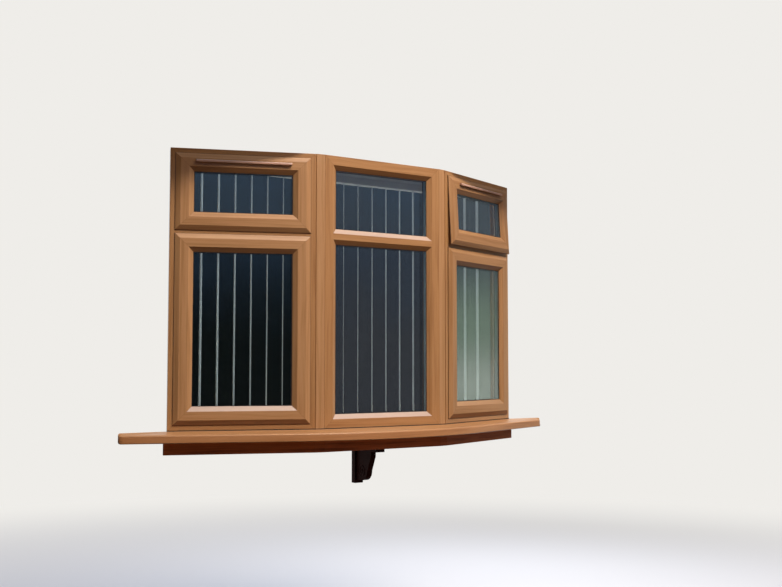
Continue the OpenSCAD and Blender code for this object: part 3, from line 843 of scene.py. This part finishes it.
def glaze(name, matrix, width, height, n, outer, inner, beadNode, glassNode, seed):
    # Two thin sheets with a spacer between them, gaskets that grip them and a sloped bead behind them,
    # from depth n on, between the distances outer of the rebate and inner of the sight line
    sheet, unit = glazing["sheet"], bay["unitThickness"] / mm
    rim = (outer + bay["glassGap"] / mm) * mm
    panes = [boxPart((rim, (n + d) * mm, rim), (width - rim, (n + d + sheet) * mm, height - rim),
                     glazing["arris"] * mm) for d in (0, unit - sheet)]
    makePiece(name + "Panes", panes, floatGlass, "pane", glassNode, at=matrix)
    spacer = railPart(width, height, slab(n + sheet, n + unit - sheet, outer + glazing["spacerBack"],
                                          inner - glazing["spacerShort"]))
    makePiece(name + "Spacer", [spacer], spacerMetal, "white_metal", at=matrix)
    held, indoors = inner - glazing["gasketHeld"], n + unit
    (front, frontShow), (behind, behindShow) = glazing["gasketFront"], glazing["gasketBack"]
    gaskets = [railPart(width, height, slab(n - front, n, held, inner + frontShow)),
               railPart(width, height, slab(indoors, indoors + behind, held, inner + behindShow))]
    makePiece(name + "Gaskets", gaskets, rubber, "black_stain", at=matrix)
    end = indoors + bay["beadDepth"] / mm
    section = [(indoors, outer), (end, outer), (end, outer + glazing["beadBack"]),
               (indoors + glazing["beadNose"], inner), (indoors, inner)]
    bead = railPart(width, height, (section, [0.4, 0.8, 1.6, 2.5, 0.6]), seed)
    makePiece(name + "Beads", [bead], beadFoil, "oak_foil", beadNode, at=matrix)


for k, (name, (matrix, height, sashNode, beadNode, glassNode)) in enumerate(lights.items()):
    part = railPart(sashWidth, height, sections["sash"], seeds["sash"] + seeds["nextLight"] * k)
    # The right-hand sashes take the darker copy of the foil: painted shade
    sashFoil = shadedRightFoil if name.startswith("right") else oakFoil
    makePiece(name + "Sash", [part], sashFoil, "oak_foil", sashNode, at=matrix)
    # A black seal peeping out round each sash: a weatherstrip, and the painted shadow line of the gap
    # between sash and frame
    seal = railPart(sashWidth, height, sections["seal"])
    makePiece(name + "Seal", [seal], rubber, "black_stain", at=matrix)
    glaze(name, matrix, sashWidth, height, lip, rebate, sight, beadNode, glassNode,
          seeds["bead"] + seeds["nextLight"] * k)
for k, (name, (matrix, height, beadNode, glassNode)) in enumerate(fixedLights.items()):
    glaze(name, matrix, facetWidth, height, bevel + lip, fixedOut, fixedIn, beadNode, glassNode,
          seeds["fixedBead"] + seeds["nextLight"] * k)
print("sashes and glass ready")

# Weather hoods over the trickle vents: a drooping lip with a drip edge along the top rail
hood = {
    "length": 396.0, "height": 12.0, "depth": 13.0,    # millimetres
    "under": 2.0,               # its underside below the middle
    "drip": 3.0,                # thickness of the lip that hangs down in front
    "front": 1.5,               # top of the front above the middle
    "slope": (4.0, 1.0),        # the soft shoulder behind it, and its fall
    "lean": 1.2,                # how far each end leans in at the front
    "radii": (0.4, 0.8, 1.0, 1.2, 2.5, 2.5, 0.8),
}
high, deep = hood["height"] / 2, hood["depth"]
hoodCorners = np.array([(0, -hood["under"]), (hood["drip"] - deep, -hood["under"]),
                        (hood["drip"] - deep, -high), (-deep, -high), (-deep, hood["front"]),
                        (hood["slope"][0] - deep, high - hood["slope"][1]), (0, high)]) * mm
hoodLevel = upperHeight - bay["edgeBevel"] - bay["sashFace"] / 3
hoodStart = (sashWidth - hood["length"] * mm) / 2


def tipped(points):
    # Ends lean in a little at the front edge
    return np.interp(-points[:, 0], [0, hood["depth"] * mm], [0, hood["lean"] * mm])


for k, side in enumerate(("left", "right")):
    ends = [(x, -bay["bevelDepth"], hoodLevel) for x in (hoodStart, sashWidth - hoodStart)]
    part = bar(*ends, hoodCorners, np.array(hood["radii"]) * mm, seeds["hood"] + seeds["nextHood"] * k,
               tipped)
    makePiece(side + "VentHood", [part], hoodHighlightFoil, "oak_foil", side + "_vent_hood", at=onTopLight(side))
print("hoods ready")

# Sill: one section carried along a path of two straight wings and a bow, back to the frames or the wall
sillSize = {
    # millimetres, but for the angles wing and fall in degrees and the number of steps in the bow
    "half": 1105.0, "wing": 22.5, "noseAhead": 134.0, "endAhead": 10.0, "run": 85.0, "fall": 6.5,
    "nosing": 8.0, "slopeFoot": 12.0, "thick": 43.0, "drip": 3.0, "bowSteps": 48,
    "endLong": 24.0, "endDeep": 9.0, "endArris": 9.0,   # each end is an ellipse in plan, with soft edges
}


def crossing(one, two):
    # Where two lines meet in plan, each given as a point and its normal
    return np.linalg.solve(np.array([one[1], two[1]]), [one[1] @ one[0], two[1] @ two[0]])


def sillPart():
    # The nosing follows x = bow * sin(angle), y = middle - bow * cos(angle), then both tangents.
    # Each section reaches indoors to the frames' back or the wall, and its top climbs to the frames' foot
    s = {key: value * mm for key, value in sillSize.items()}
    wing, fall = rad(sillSize["wing"]), math.tan(rad(sillSize["fall"]))
    noseY = centreLow[1] - s["noseAhead"]
    bowX = (noseY + s["endAhead"] + math.tan(wing) * s["half"]) / (math.tan(wing) - math.tan(wing / 2))
    bow = bowX / math.sin(wing)
    middle = noseY + bow
    reach = bow * wing + (s["half"] - bowX) / math.cos(wing)
    # Lines of the frames' indoor faces, as a point and the way indoors
    lines = [(bayCorners[i] - bay["frameDepth"] * outward[k], -outward[k])
             for i, k in ((1, 0), (2, 1), (2, 2))]
    lines = lines + [(p * (-1, 1), n * (-1, 1)) for p, n in lines[:2]]
    wall = (np.zeros(2), np.array([0.0, 1.0]))
    # Stations: the bow's steps, both ends and each place straight before a corner of the back line
    joint = np.array([-bowX, middle - bow * math.cos(wing)])
    wingWay = np.array([math.cos(wing), -math.sin(wing)])
    places = []
    for mark in (crossing(wall, lines[0]), crossing(lines[0], lines[1]), crossing(lines[1], lines[2])):
        swing = math.atan2(mark[0], middle - mark[1])
        places.append(bow * swing if swing > -wing else (mark - joint) @ wingWay - bow * wing)
    # and where the wall cuts the sloping top short
    slopeEnd = (s["run"] * math.cos(wing) + joint[1]) / math.sin(wing)
    places = np.array(places + [slopeEnd - bow * wing])
    quarter = 1 - np.sin(np.linspace(0, 1, 9) * math.pi / 2)
    tip = np.concatenate([s["endLong"] * quarter, s["endArris"] * quarter[1:]])
    q = np.concatenate([np.linspace(-wing, wing, sillSize["bowSteps"] + 1) * bow, places, -places,
                        -reach + tip, reach - tip])
    q = np.unique(np.round(q, 6))
    angle = np.clip(q / bow, -wing, wing)
    onWay = np.stack([np.cos(angle), np.sin(angle)], 1)
    inWay = np.stack([-np.sin(angle), np.cos(angle)], 1)
    noseLine = np.stack([bow * np.sin(angle), middle - bow * np.cos(angle)], 1)
    noseLine = noseLine + (q - bow * angle)[:, None] * onWay
    away = [((p - noseLine) @ n) / (inWay @ n) for p, n in lines]
    room = np.minimum(-noseLine[:, 1] / inWay[:, 1], np.max(away, 0))
    # The end cuts run square to the wall, so their points slide along the wing
    nearEnd = np.abs(q) > reach - s["endLong"] - mm
    lean = np.where(nearEnd, np.sign(q) * math.tan(wing), 0.0)
    room = np.where(nearEnd, -noseLine[:, 1] * math.cos(wing), room)
    nose = rounded([(1.0, -s["thick"]), (s["drip"], -s["thick"]), (0, s["drip"] - s["thick"]),
                    (0, -s["run"] * fall), (s["run"], 0), (1.0, 0)],
                   np.array([0.4, 0.8, 1.0, sillSize["nosing"], sillSize["slopeFoot"], 0.4]) * mm, 6)
    p = nose["points"]
    # Share of each end's length, along the front and along the edges, and how far that draws them in
    frontShare = np.clip(1 - (reach - np.abs(q)) / s["endLong"], 0, 1)
    edgeShare = np.clip(1 - (reach - np.abs(q)) / s["endArris"], 0, 1)
    pull = s["endDeep"] * (1 - np.sqrt(1 - frontShare ** 2))
    rise = s["endArris"] * (1 - np.sqrt(1 - edgeShare ** 2))
    d = np.minimum(p[None, :, 0], room[:, None])
    # The top climbs from the nosing to the frames' foot, or to the wall where that is nearer
    climb = np.clip((d - s["nosing"]) / (np.minimum(s["run"], room)[:, None] - s["nosing"]), 0, 1)
    edgeZ = -(s["run"] - s["nosing"]) * fall
    onTop = (p[None, :, 1] > edgeZ - 0.2 * mm) & (p[None, :, 0] > s["nosing"])
    z = np.where(onTop, edgeZ * (1 - climb), p[None, :, 1])
    # The rounded ends draw in every face but the back
    front = np.clip((0.9 * room[:, None] - p[None, :, 0]) / (0.5 * room[:, None]), 0, 1)
    draw = nose["normals"][None] * np.stack([front * pull[:, None], front * 0 + rise[:, None]], 2)
    spots = np.stack([d, z], 2) - draw
    spots[:, :, 1] = np.clip(spots[:, :, 1], (rise - s["thick"])[:, None], -rise[:, None])
    slide = (lean[:, None] * spots[:, :, 0])[:, :, None] * inPlan(onWay)[:, None]
    along = np.repeat(np.stack([q[:-1], q[1:]], 1)[:, :, None], len(p), 2) + seeds["sill"]
    part = carry(nose, planStation(noseLine, inWay, inWay[:-1], inWay[1:], level), along, along * 0 + 1.0,
                 slide=slide, inset=spots)
    # Back faces take their own flat normal
    quads = np.array(part["faces"][:(len(q) - 1) * len(p)])
    v = part["v"][quads]
    flat = np.cross(v[:, 2] - v[:, 0], v[:, 3] - v[:, 1])
    size = np.linalg.norm(flat, axis=1, keepdims=True)
    own = flat / np.maximum(size, 1e-12)
    isBack = (own[:, 1] > 0.7) & (size[:, 0] > 1e-9)
    # The rounded ends turn the normals outwards by the sine of their curve's slope
    n = part["n"][:len(quads) * 4].reshape(-1, 4, 3)
    flatness = s["endDeep"] / s["endLong"]
    frontSine = flatness * frontShare / np.sqrt(1 - frontShare ** 2 + (flatness * frontShare) ** 2)
    stationOf = quads // len(p)
    vertical = np.abs(n[:, :, 2:])
    sine = frontSine[stationOf][:, :, None] * (1 - vertical) + edgeShare[stationOf][:, :, None] * vertical
    sine = sine * np.sign(q)[stationOf][:, :, None]
    n[:] = n * np.sqrt(1 - sine ** 2) + inPlan(onWay)[stationOf] * sine
    n[isBack] = own[isBack][:, None]
    part["n"][:len(quads) * 4] = (n / np.linalg.norm(n, axis=2, keepdims=True)).reshape(-1, 3)
    return part


makePiece("bowSill", [sillPart()], sillFoil, "oak_foil", "sill")

# Apron: one board mitred round the bay's plan, a little proud of the frames
apron = {"proud": 6.0, "thick": 18.0, "height": 52.0, "radius": 2.2}   # millimetres


def apronPart():
    # Each corner moves out by proud along its mitre, and both ends run along the wall
    proud, thick, tall = (apron[key] * mm for key in ("proud", "thick", "height"))
    alongWall = np.array([1 / math.sin(facetTurn), 0.0])
    first = (bayCorners[0] - proud * alongWall) * (1, 0)
    path = np.vstack([first, bayCorners[1:-1] + proud * mitres, first * (-1, 1)])
    station = planStation(path, np.vstack([alongWall, -mitres, -alongWall]), -outward, -outward,
                          level - sillSize["thick"] * mm)
    profile = rounded([(0, 0), (0, -tall), (thick, -tall), (thick, 0)], apron["radius"] * mm)
    length = np.concatenate([[0.0], np.cumsum(np.linalg.norm(np.diff(path, axis=0), axis=1))])
    along = np.repeat(np.stack([length[:-1], length[1:]], 1)[:, :, None], len(profile["points"]), 2)
    return carry(profile, station, along + seeds["apron"], along * 0 + 1.0)


makePiece("apronBoards", [apronPart()], apronFoil, "dark_oak", "apron")

# A thin dark bead of sealant where the frames stand on the sill, drawn near-black as the painted shadow line
# at the frames' foot
sealantAndShade = {"proud": 1.5, "height": 3.5, "radius": 1.0}   # millimetres


def sealantAndShadePart():
    # A small block along the bay's corners, mitred, half of it under the frames' face
    station = planStation(bayCorners, np.vstack([outward[0], mitres, outward[-1]]), outward, outward, level)
    proud, high = sealantAndShade["proud"] * mm, sealantAndShade["height"] * mm
    profile = rounded([(-proud, 0), (proud, 0), (proud, high), (-proud, high)], sealantAndShade["radius"] * mm)
    along = np.zeros((len(outward), 2, len(profile["points"])))
    return carry(profile, station, along, along + 1.0)


makePiece("footSealantAndShade", [sealantAndShadePart()], rubber, "black_stain")
print("sill and apron ready")


def loft(path, axisA, axisB, halfA, halfB, power=2.0, count=28):
    # Superellipse |a/A|^p + |b/B|^p = 1 carried along a path, with half sizes A and B at each place
    path, halfA, halfB = np.array(path, float), np.array(halfA, float), np.array(halfB, float)
    t = np.linspace(0, 2 * math.pi, count, endpoint=False)
    a = np.sign(np.cos(t)) * np.abs(np.cos(t)) ** (2 / power)
    b = np.sign(np.sin(t)) * np.abs(np.sin(t)) ** (2 / power)
    return (path[:, None] + np.array(axisA, float) * (halfA[:, None] * a)[:, :, None]
            + np.array(axisB, float) * (halfB[:, None] * b)[:, :, None])


def makeLofts(name, grids, material, slot, *stoodFor, at=Matrix.Identity(4)):
    # Closed lofts become one piece with smooth faces
    base, v, faces = 0, [], []
    for grid in grids:
        stations, count = grid.shape[:2]
        s = np.arange(stations - 1)[:, None]
        i = np.arange(count)[None, :]
        j = (i + 1) % count
        quads = np.stack([s * count + i, s * count + j, (s + 1) * count + j, (s + 1) * count + i], 2)
        faces += (quads.reshape(-1, 4) + base).tolist()
        faces += [(base + np.arange(count)[::-1]).tolist(),
                  (base + (stations - 1) * count + np.arange(count)).tolist()]
        v.append(grid.reshape(-1, 3))
        base += stations * count
    mesh = smoothMesh(name, moved(np.vstack(v), at), faces)
    return finishPiece(name, mesh, material, slot, *stoodFor)


# Espagnolette handles: a rounded base plate, a round neck and a tapering lever
handle = {
    # Sizes across, off the sash and along it, in millimetres
    "base": (16.0, 10.0, 60.0), "baseEdge": (4.0, 5.0),    # drawn in across and along at its top
    "neckRadius": 7.0, "neck": 26.0,
    "grip": (18.0, 12.0, 110.0), "gripTop": 12.0,
    "gripFoot": (0.66, 0.62),   # width and thickness at its foot, as shares
    "gripBend": 1.4,            # how far it leans off the sash at its foot
    "squareness": (3.4, 2.6),   # of the base and the grip, 2 being round
    "room": 0.5, "ajarRoom": 6.0,
}


def handleGrids():
    # Half sizes follow listed shares along the height of the base, the neck and the lever
    size = {key: np.array(value) * mm for key, value in handle.items()}
    bx, by, bz = size["base"] / 2
    edge = np.array([0, 0, 0.35, 0.7, 0.9, 1.0]) ** 2
    rise = np.array([0, 0.55, 0.8, 0.93, 0.985, 1.0]) * by * 2
    base = loft(np.outer(rise, (0, 1, 0)), (0, 0, 1), (1, 0, 0), bz - edge * size["baseEdge"][1],
                bx - edge * size["baseEdge"][0], handle["squareness"][0])
    foot, length = 2 * by, size["neck"]
    y = foot + np.array([-0.001, 0.0, 0.15, 0.5, 0.85, 1.0]) * length
    spread = np.array([1.0, 1.0, 0.86, 0.78, 0.86, 1.0]) * size["neckRadius"]
    neck = loft(np.outer(y, (0, 1, 0)), (0, 0, 1), (1, 0, 0), spread, spread)
    gx, gy, gz = size["grip"]
    f = np.array([0, 0.006, 0.025, 0.07, 0.16, 0.30, 0.5, 0.7, 0.85, 0.94, 0.98, 0.995, 1.0])
    roundEnds = np.sqrt(np.clip(1 - np.maximum(1 - f / 0.09, 0) ** 2, 0.01, 1)
                        * np.clip(1 - np.maximum(1 - (1 - f) / 0.05, 0) ** 2, 0.01, 1))
    wide, thin = (g / 2 * roundEnds * np.interp(f, [0, 0.2, 1], [1.0, 0.95, share])
                  for g, share in zip((gx, gy), handle["gripFoot"]))
    middle = foot + length + gy / 2 + np.interp(f, [0, 0.25, 1], [0.0, 0.0, size["gripBend"]])
    line = np.column_stack([f * 0, middle, size["gripTop"] - f * gz])
    return [base, neck, loft(line, (-1, 0, 0), (0, 1, 0), wide, thin, handle["squareness"][1])]


sideways = (frameRebate + bay["stopHeight"] - bay["frameBare"]
            + (handle["room"] + handle["base"][0] / 2) * mm)
grids = handleGrids()
for side in ("left", "right"):
    x = sashWidth - sideways if side == "left" else sideways
    onFrame = onCasement(side) @ shift(x, bay["sashBack"], lowerHeight / 2)
    onFoot = onTopLight(side) @ shift(sashWidth / 2, bay["sashBack"], sideways + handle["ajarRoom"] * mm)
    for kind, place in (("Casement", onFrame), ("Top", onFoot @ turn(90, "Y"))):
        makeLofts(side + kind + "Handle", grids, whiteCoat, "white_metal",
                  side + "_" + kind.lower() + "_handle", at=place)
print("handles ready")

# Vertical blind: an aluminium channel with carriers, pale woven vanes and their weights
blind = {
    # millimetres, but for the number of vanes and their turn in degrees
    "width": 89.0, "pitch": 79.0, "count": 21, "turn": 31.0, "camber": 1.6, "thick": 0.4,
    "footFlat": 0.25,      # share of the camber that is gone at the foot
    "railWall": 1.6, "slot": 9.0, "weightHeight": 28.0,
}
railLow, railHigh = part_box("blind_rail")
vaneLow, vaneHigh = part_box("blind_vanes")
blindY = (railLow[1] + railHigh[1]) / 2
railTall, hy = railHigh[2] - railLow[2], (railHigh[1] - railLow[1]) / 2
shell, slot = blind["railWall"] * mm, blind["slot"] * mm / 2
channel = [(-hy, 0), (-slot, 0), (-slot, shell), (shell - hy, shell), (shell - hy, railTall - shell),
           (hy - shell, railTall - shell), (hy - shell, shell), (slot, shell), (slot, 0), (hy, 0),
           (hy, railTall), (-hy, railTall)]
part = bar((railLow[0], blindY, railLow[2]), (railHigh[0], blindY, railLow[2]), channel, 0.6 * mm)
makePiece("blindChannel", [part], whiteCoat, "white_metal", "blind_rail")

# Woven polyester with a stiffening finish: matte, off-white, a plain weave that reads as faint ribs
weave = {
    "thread": 2.4,        # mm, drawn coarser than the real 0.5
    "colour": "#EAF1EF", "dark": "#D3DCDA",
    "uneven": 1.5, "bump": 0.3, "roughness": 0.85, "sheen": 0.15,
}
vaneCloth, clothTree, clothSurface = newMaterial("wovenPolyester")
threads = addNode(clothTree, "UVMap", uv_map="cloth")
threadScale = 2 * math.pi / (20 * weave["thread"] * mm)   # one wave is 2 pi / (20 * scale) long
waves = {"Vector": threads, "Scale": threadScale, "Distortion": weave["uneven"], "Detail": 2.0}
ribs, picks = (addNode(clothTree, "TexWave", waves, bands_direction=axis).outputs["Fac"] for axis in "YX")
woven = maths(clothTree, "MULTIPLY", ribs, picks)
feed(clothSurface, {
    "Base Color": mixed(clothTree, woven, weave["colour"], weave["dark"]),
    "Normal": addNode(clothTree, "Bump", {"Height": woven, "Strength": weave["bump"], "Distance": 0.2 * mm}),
    "Roughness": weave["roughness"], "Sheen Weight": weave["sheen"],
})

vaneWide, vaneTall = blind["width"] * mm, vaneHigh[2] - vaneLow[2]
vaneSpots = (np.arange(blind["count"]) - (blind["count"] - 1) / 2) * blind["pitch"] * mm
swing = rad(blind["turn"])
wideWay = np.array([math.sin(swing), math.cos(swing), 0])
faceWay = np.array([math.cos(swing), -math.sin(swing), 0])
s, t = np.meshgrid(np.linspace(-1, 1, 9), np.linspace(0, 1, 13), indexing="ij")
cloth = np.stack([(s + 1) / 2 * vaneWide, t * vaneTall], 2)
corner = np.arange(8)[:, None] * 13 + np.arange(12)[None, :]
vaneFaces = np.stack([corner, corner + 13, corner + 14, corner + 1], 2).reshape(-1, 4)
# The vane's width follows a shallow arc that is a little flatter at its foot
camber = blind["camber"] * mm
bow = camber * (1 - s ** 2) * (1 - blind["footFlat"] * (1 - t)) - 0.5 * camber
across = s * (vaneWide / 2 - 0.15 * mm)
vaneShape = (across[:, :, None] * wideWay + bow[:, :, None] * faceWay
             + (t * vaneTall)[:, :, None] * np.array([0, 0, 1.0])).reshape(-1, 3)
for k, x in enumerate(vaneSpots):
    name = "vane%02d" % (k + 1)
    mesh = smoothMesh(name, vaneShape + np.array([x, blindY, vaneLow[2]]), vaneFaces.tolist())
    layer = mesh.uv_layers.new(name="cloth")
    layer.data.foreach_set("uv", cloth.reshape(-1, 2)[vaneFaces.ravel()].ravel())
    vane = finishPiece(name, mesh, vaneCloth, "vane_fabric", "blind_vanes")
    thickness = vane.modifiers.new("thickness", "SOLIDIFY")
    thickness.thickness = blind["thick"] * mm
    thickness.offset = 0.0


def alongVanes(x0, x1, y0, y1, z0, z1):
    # A small block on each vane, in millimetres of the vane's own directions: across, off its face and up
    block = boxPart((x0 * mm, y0 * mm, z0 * mm), (x1 * mm, y1 * mm, z1 * mm), 0.3 * mm)
    return [placed(block, shift(x, blindY, vaneLow[2]) @ turn(90 - blind["turn"], "Z")) for x in vaneSpots]


reach, top = blind["width"] / 2 - 3, vaneTall / mm
foot = alongVanes(-reach, reach, -1.3, -0.5, 2, 2 + blind["weightHeight"])
makePiece("vaneWeights", foot, whitePlastic, "white_board")
hooks = alongVanes(-9, 9, -1.6, 1.6, top - 6, top + 3)
stems = alongVanes(-2, 2, -2, 2, top + 1, top + 8)
makePiece("vaneCarriers", hooks + stems, whitePlastic, "white_board")
print("blind ready")

# Bracket: sawn and stained timber plates with a corbel between them, scrolled on both cheeks
# Dark stain on softwood: near-black brown, satin, with the grain just showing
stain = {"grain": 2.2, "specular": 0.07, "bump": 0.35, "share": 0.8}
bracketStain = solidMaterial("darkStainedSoftwood", "#38130A", "#1C0804", 0.58, length=46.0, axis="Z",
                             **stain)
shelfStain = solidMaterial("darkStainedShelf", "#3A140A", "#1E0905", 0.58, length=60.0, axis="Y", **stain)
# Exterior plywood: honey-coloured faces with a long soft grain, and the same with a dark stain
plywood = solidMaterial("exteriorPlywood", "#B9925F", "#97703F", 0.66, grain=1.5, length=70.0,
                        specular=0.2, bump=0.2)
soffitStain = solidMaterial("darkStainedSoffit", "#3E2216", "#25130C", 0.66, grain=2.4, length=80.0,
                            specular=0.12, bump=0.25, share=0.8)
# Foamed PVC board: smooth, white, slightly satin
pvcBoard = solidMaterial("foamedPvcBoard", "#D5D3CB", "#C9C6BC", 0.34, grain=60.0, bump=0.02)

dressed = {
    # CAD node: material and the width of its worn edges in millimetres
    "packing_board": (plywood, 0.6),
    "base_board": (plywood, 0.6),
    "soffit_board": (soffitStain, 0.8),
    "window_board": (pvcBoard, 2.0),
    "head_board": (pvcBoard, 1.0),
    "bracket_wall_plate": (bracketStain, 1.6),
    "bracket_shelf": (shelfStain, 1.6),
    "bracket_corbel": (bracketStain, 1.8),
}
for name, (material, width) in dressed.items():
    board = nodes[name]
    board.data.materials.clear()
    board.data.materials.append(material)
    weld = board.modifiers.new("weld", "WELD")
    weld.merge_threshold = 0.02 * mm
    soft = board.modifiers.new("wornEdges", "BEVEL")
    soft.width = width * mm
    soft.segments = 2
    soft.limit_method = "ANGLE"
    soft.angle_limit = rad(35)
    soft.harden_normals = False

# Scroll on each cheek: a round moulding wound in a spiral, with a tail up to the shelf
scroll = {
    "centre": (-70.0, -13.0), "outer": 35.0, "inner": 7.0, "wide": 2.6, "proud": 1.6,   # millimetres
    "turns": 1.9,
    "tighten": 0.85,          # below 1 the first turn draws in faster
    "thinning": 0.45,         # share of its width that is gone at the inner end
    "rosette": 6.0,           # radius of the button in the middle
    "rosetteProud": 2.0, "sunk": 0.6,
}
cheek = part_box("bracket_corbel")[1][0]
scrollY, scrollZ = scroll["centre"]


def scrollGrid(sign, count=90):
    # Spiral r = outer - (outer - inner) * u ^ tighten in the cheek's plane, a half-round across it
    u = np.linspace(0, 1, count)
    angle = math.pi / 2 + 2 * math.pi * scroll["turns"] * u
    r = scroll["outer"] + (scroll["inner"] - scroll["outer"]) * u ** scroll["tighten"]
    ray = np.column_stack([u * 0, -np.cos(angle), np.sin(angle)])
    ends = np.minimum(1, (1 - u) * 14 + 0.25) * np.minimum(1, u * 14 + 0.25)
    width = (scroll["wide"] * (1 - scroll["thinning"] * u) * ends)[:, None]
    around = np.linspace(0, 2 * math.pi, 12, endpoint=False)[None]
    spread = r[:, None] + np.cos(around) * width
    grid = np.array([0, scrollY, scrollZ]) + ray[:, None] * spread[:, :, None]
    grid[:, :, 0] += sign * (cheek / mm + np.sin(around) * scroll["proud"] * np.minimum(1, width / 2) + 0.2)
    return (grid if sign < 0 else grid[:, ::-1]) * mm


lofts = [scrollGrid(-1), scrollGrid(1)]
f = np.linspace(0, 1, 8)
dome = np.sqrt(np.clip(1 - f ** 2, 0.0004, 1)) * scroll["rosette"] * mm
for sign in (-1, 1):
    out = cheek + (f * (scroll["rosetteProud"] + scroll["sunk"]) - scroll["sunk"]) * mm
    line = np.column_stack([sign * out, f * 0 + scrollY * mm, f * 0 + scrollZ * mm])
    lofts.append(loft(line, (0, 1, 0), (0, 0, sign), dome, dome))
makeLofts("corbelScrolls", lofts, bracketStain, "black_stain")

# Countersunk screws in the wall plate
screw = {"across": 17.5, "up": 50.0, "head": 3.0}   # mm from the plate's middle, and the head's depth
# Zinc-plated steel: dull silver with a slight brown film
zinc = solidMaterial("zincPlatedSteel", "#8E8A84", "#6A625A", 0.42, grain=1.5, metallic=1.0)
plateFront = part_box("bracket_wall_plate")[0][1]
f = np.array([0.0, 0.45, 0.8, 0.95, 1.0])
radius = np.array([2.1, 3.2, 3.9, 3.8, 3.2]) * mm
lofts = []
for x in (-screw["across"] * mm, screw["across"] * mm):
    for z in (-screw["up"] * mm, screw["up"] * mm):
        line = np.column_stack([f * 0 + x, plateFront + (1 - f) * screw["head"] * mm, f * 0 + z])
        lofts.append(loft(line, (0, 0, 1), (1, 0, 0), radius, radius, count=20))
makeLofts("bracketScrews", lofts, zinc, "white_metal")
print("bracket ready")
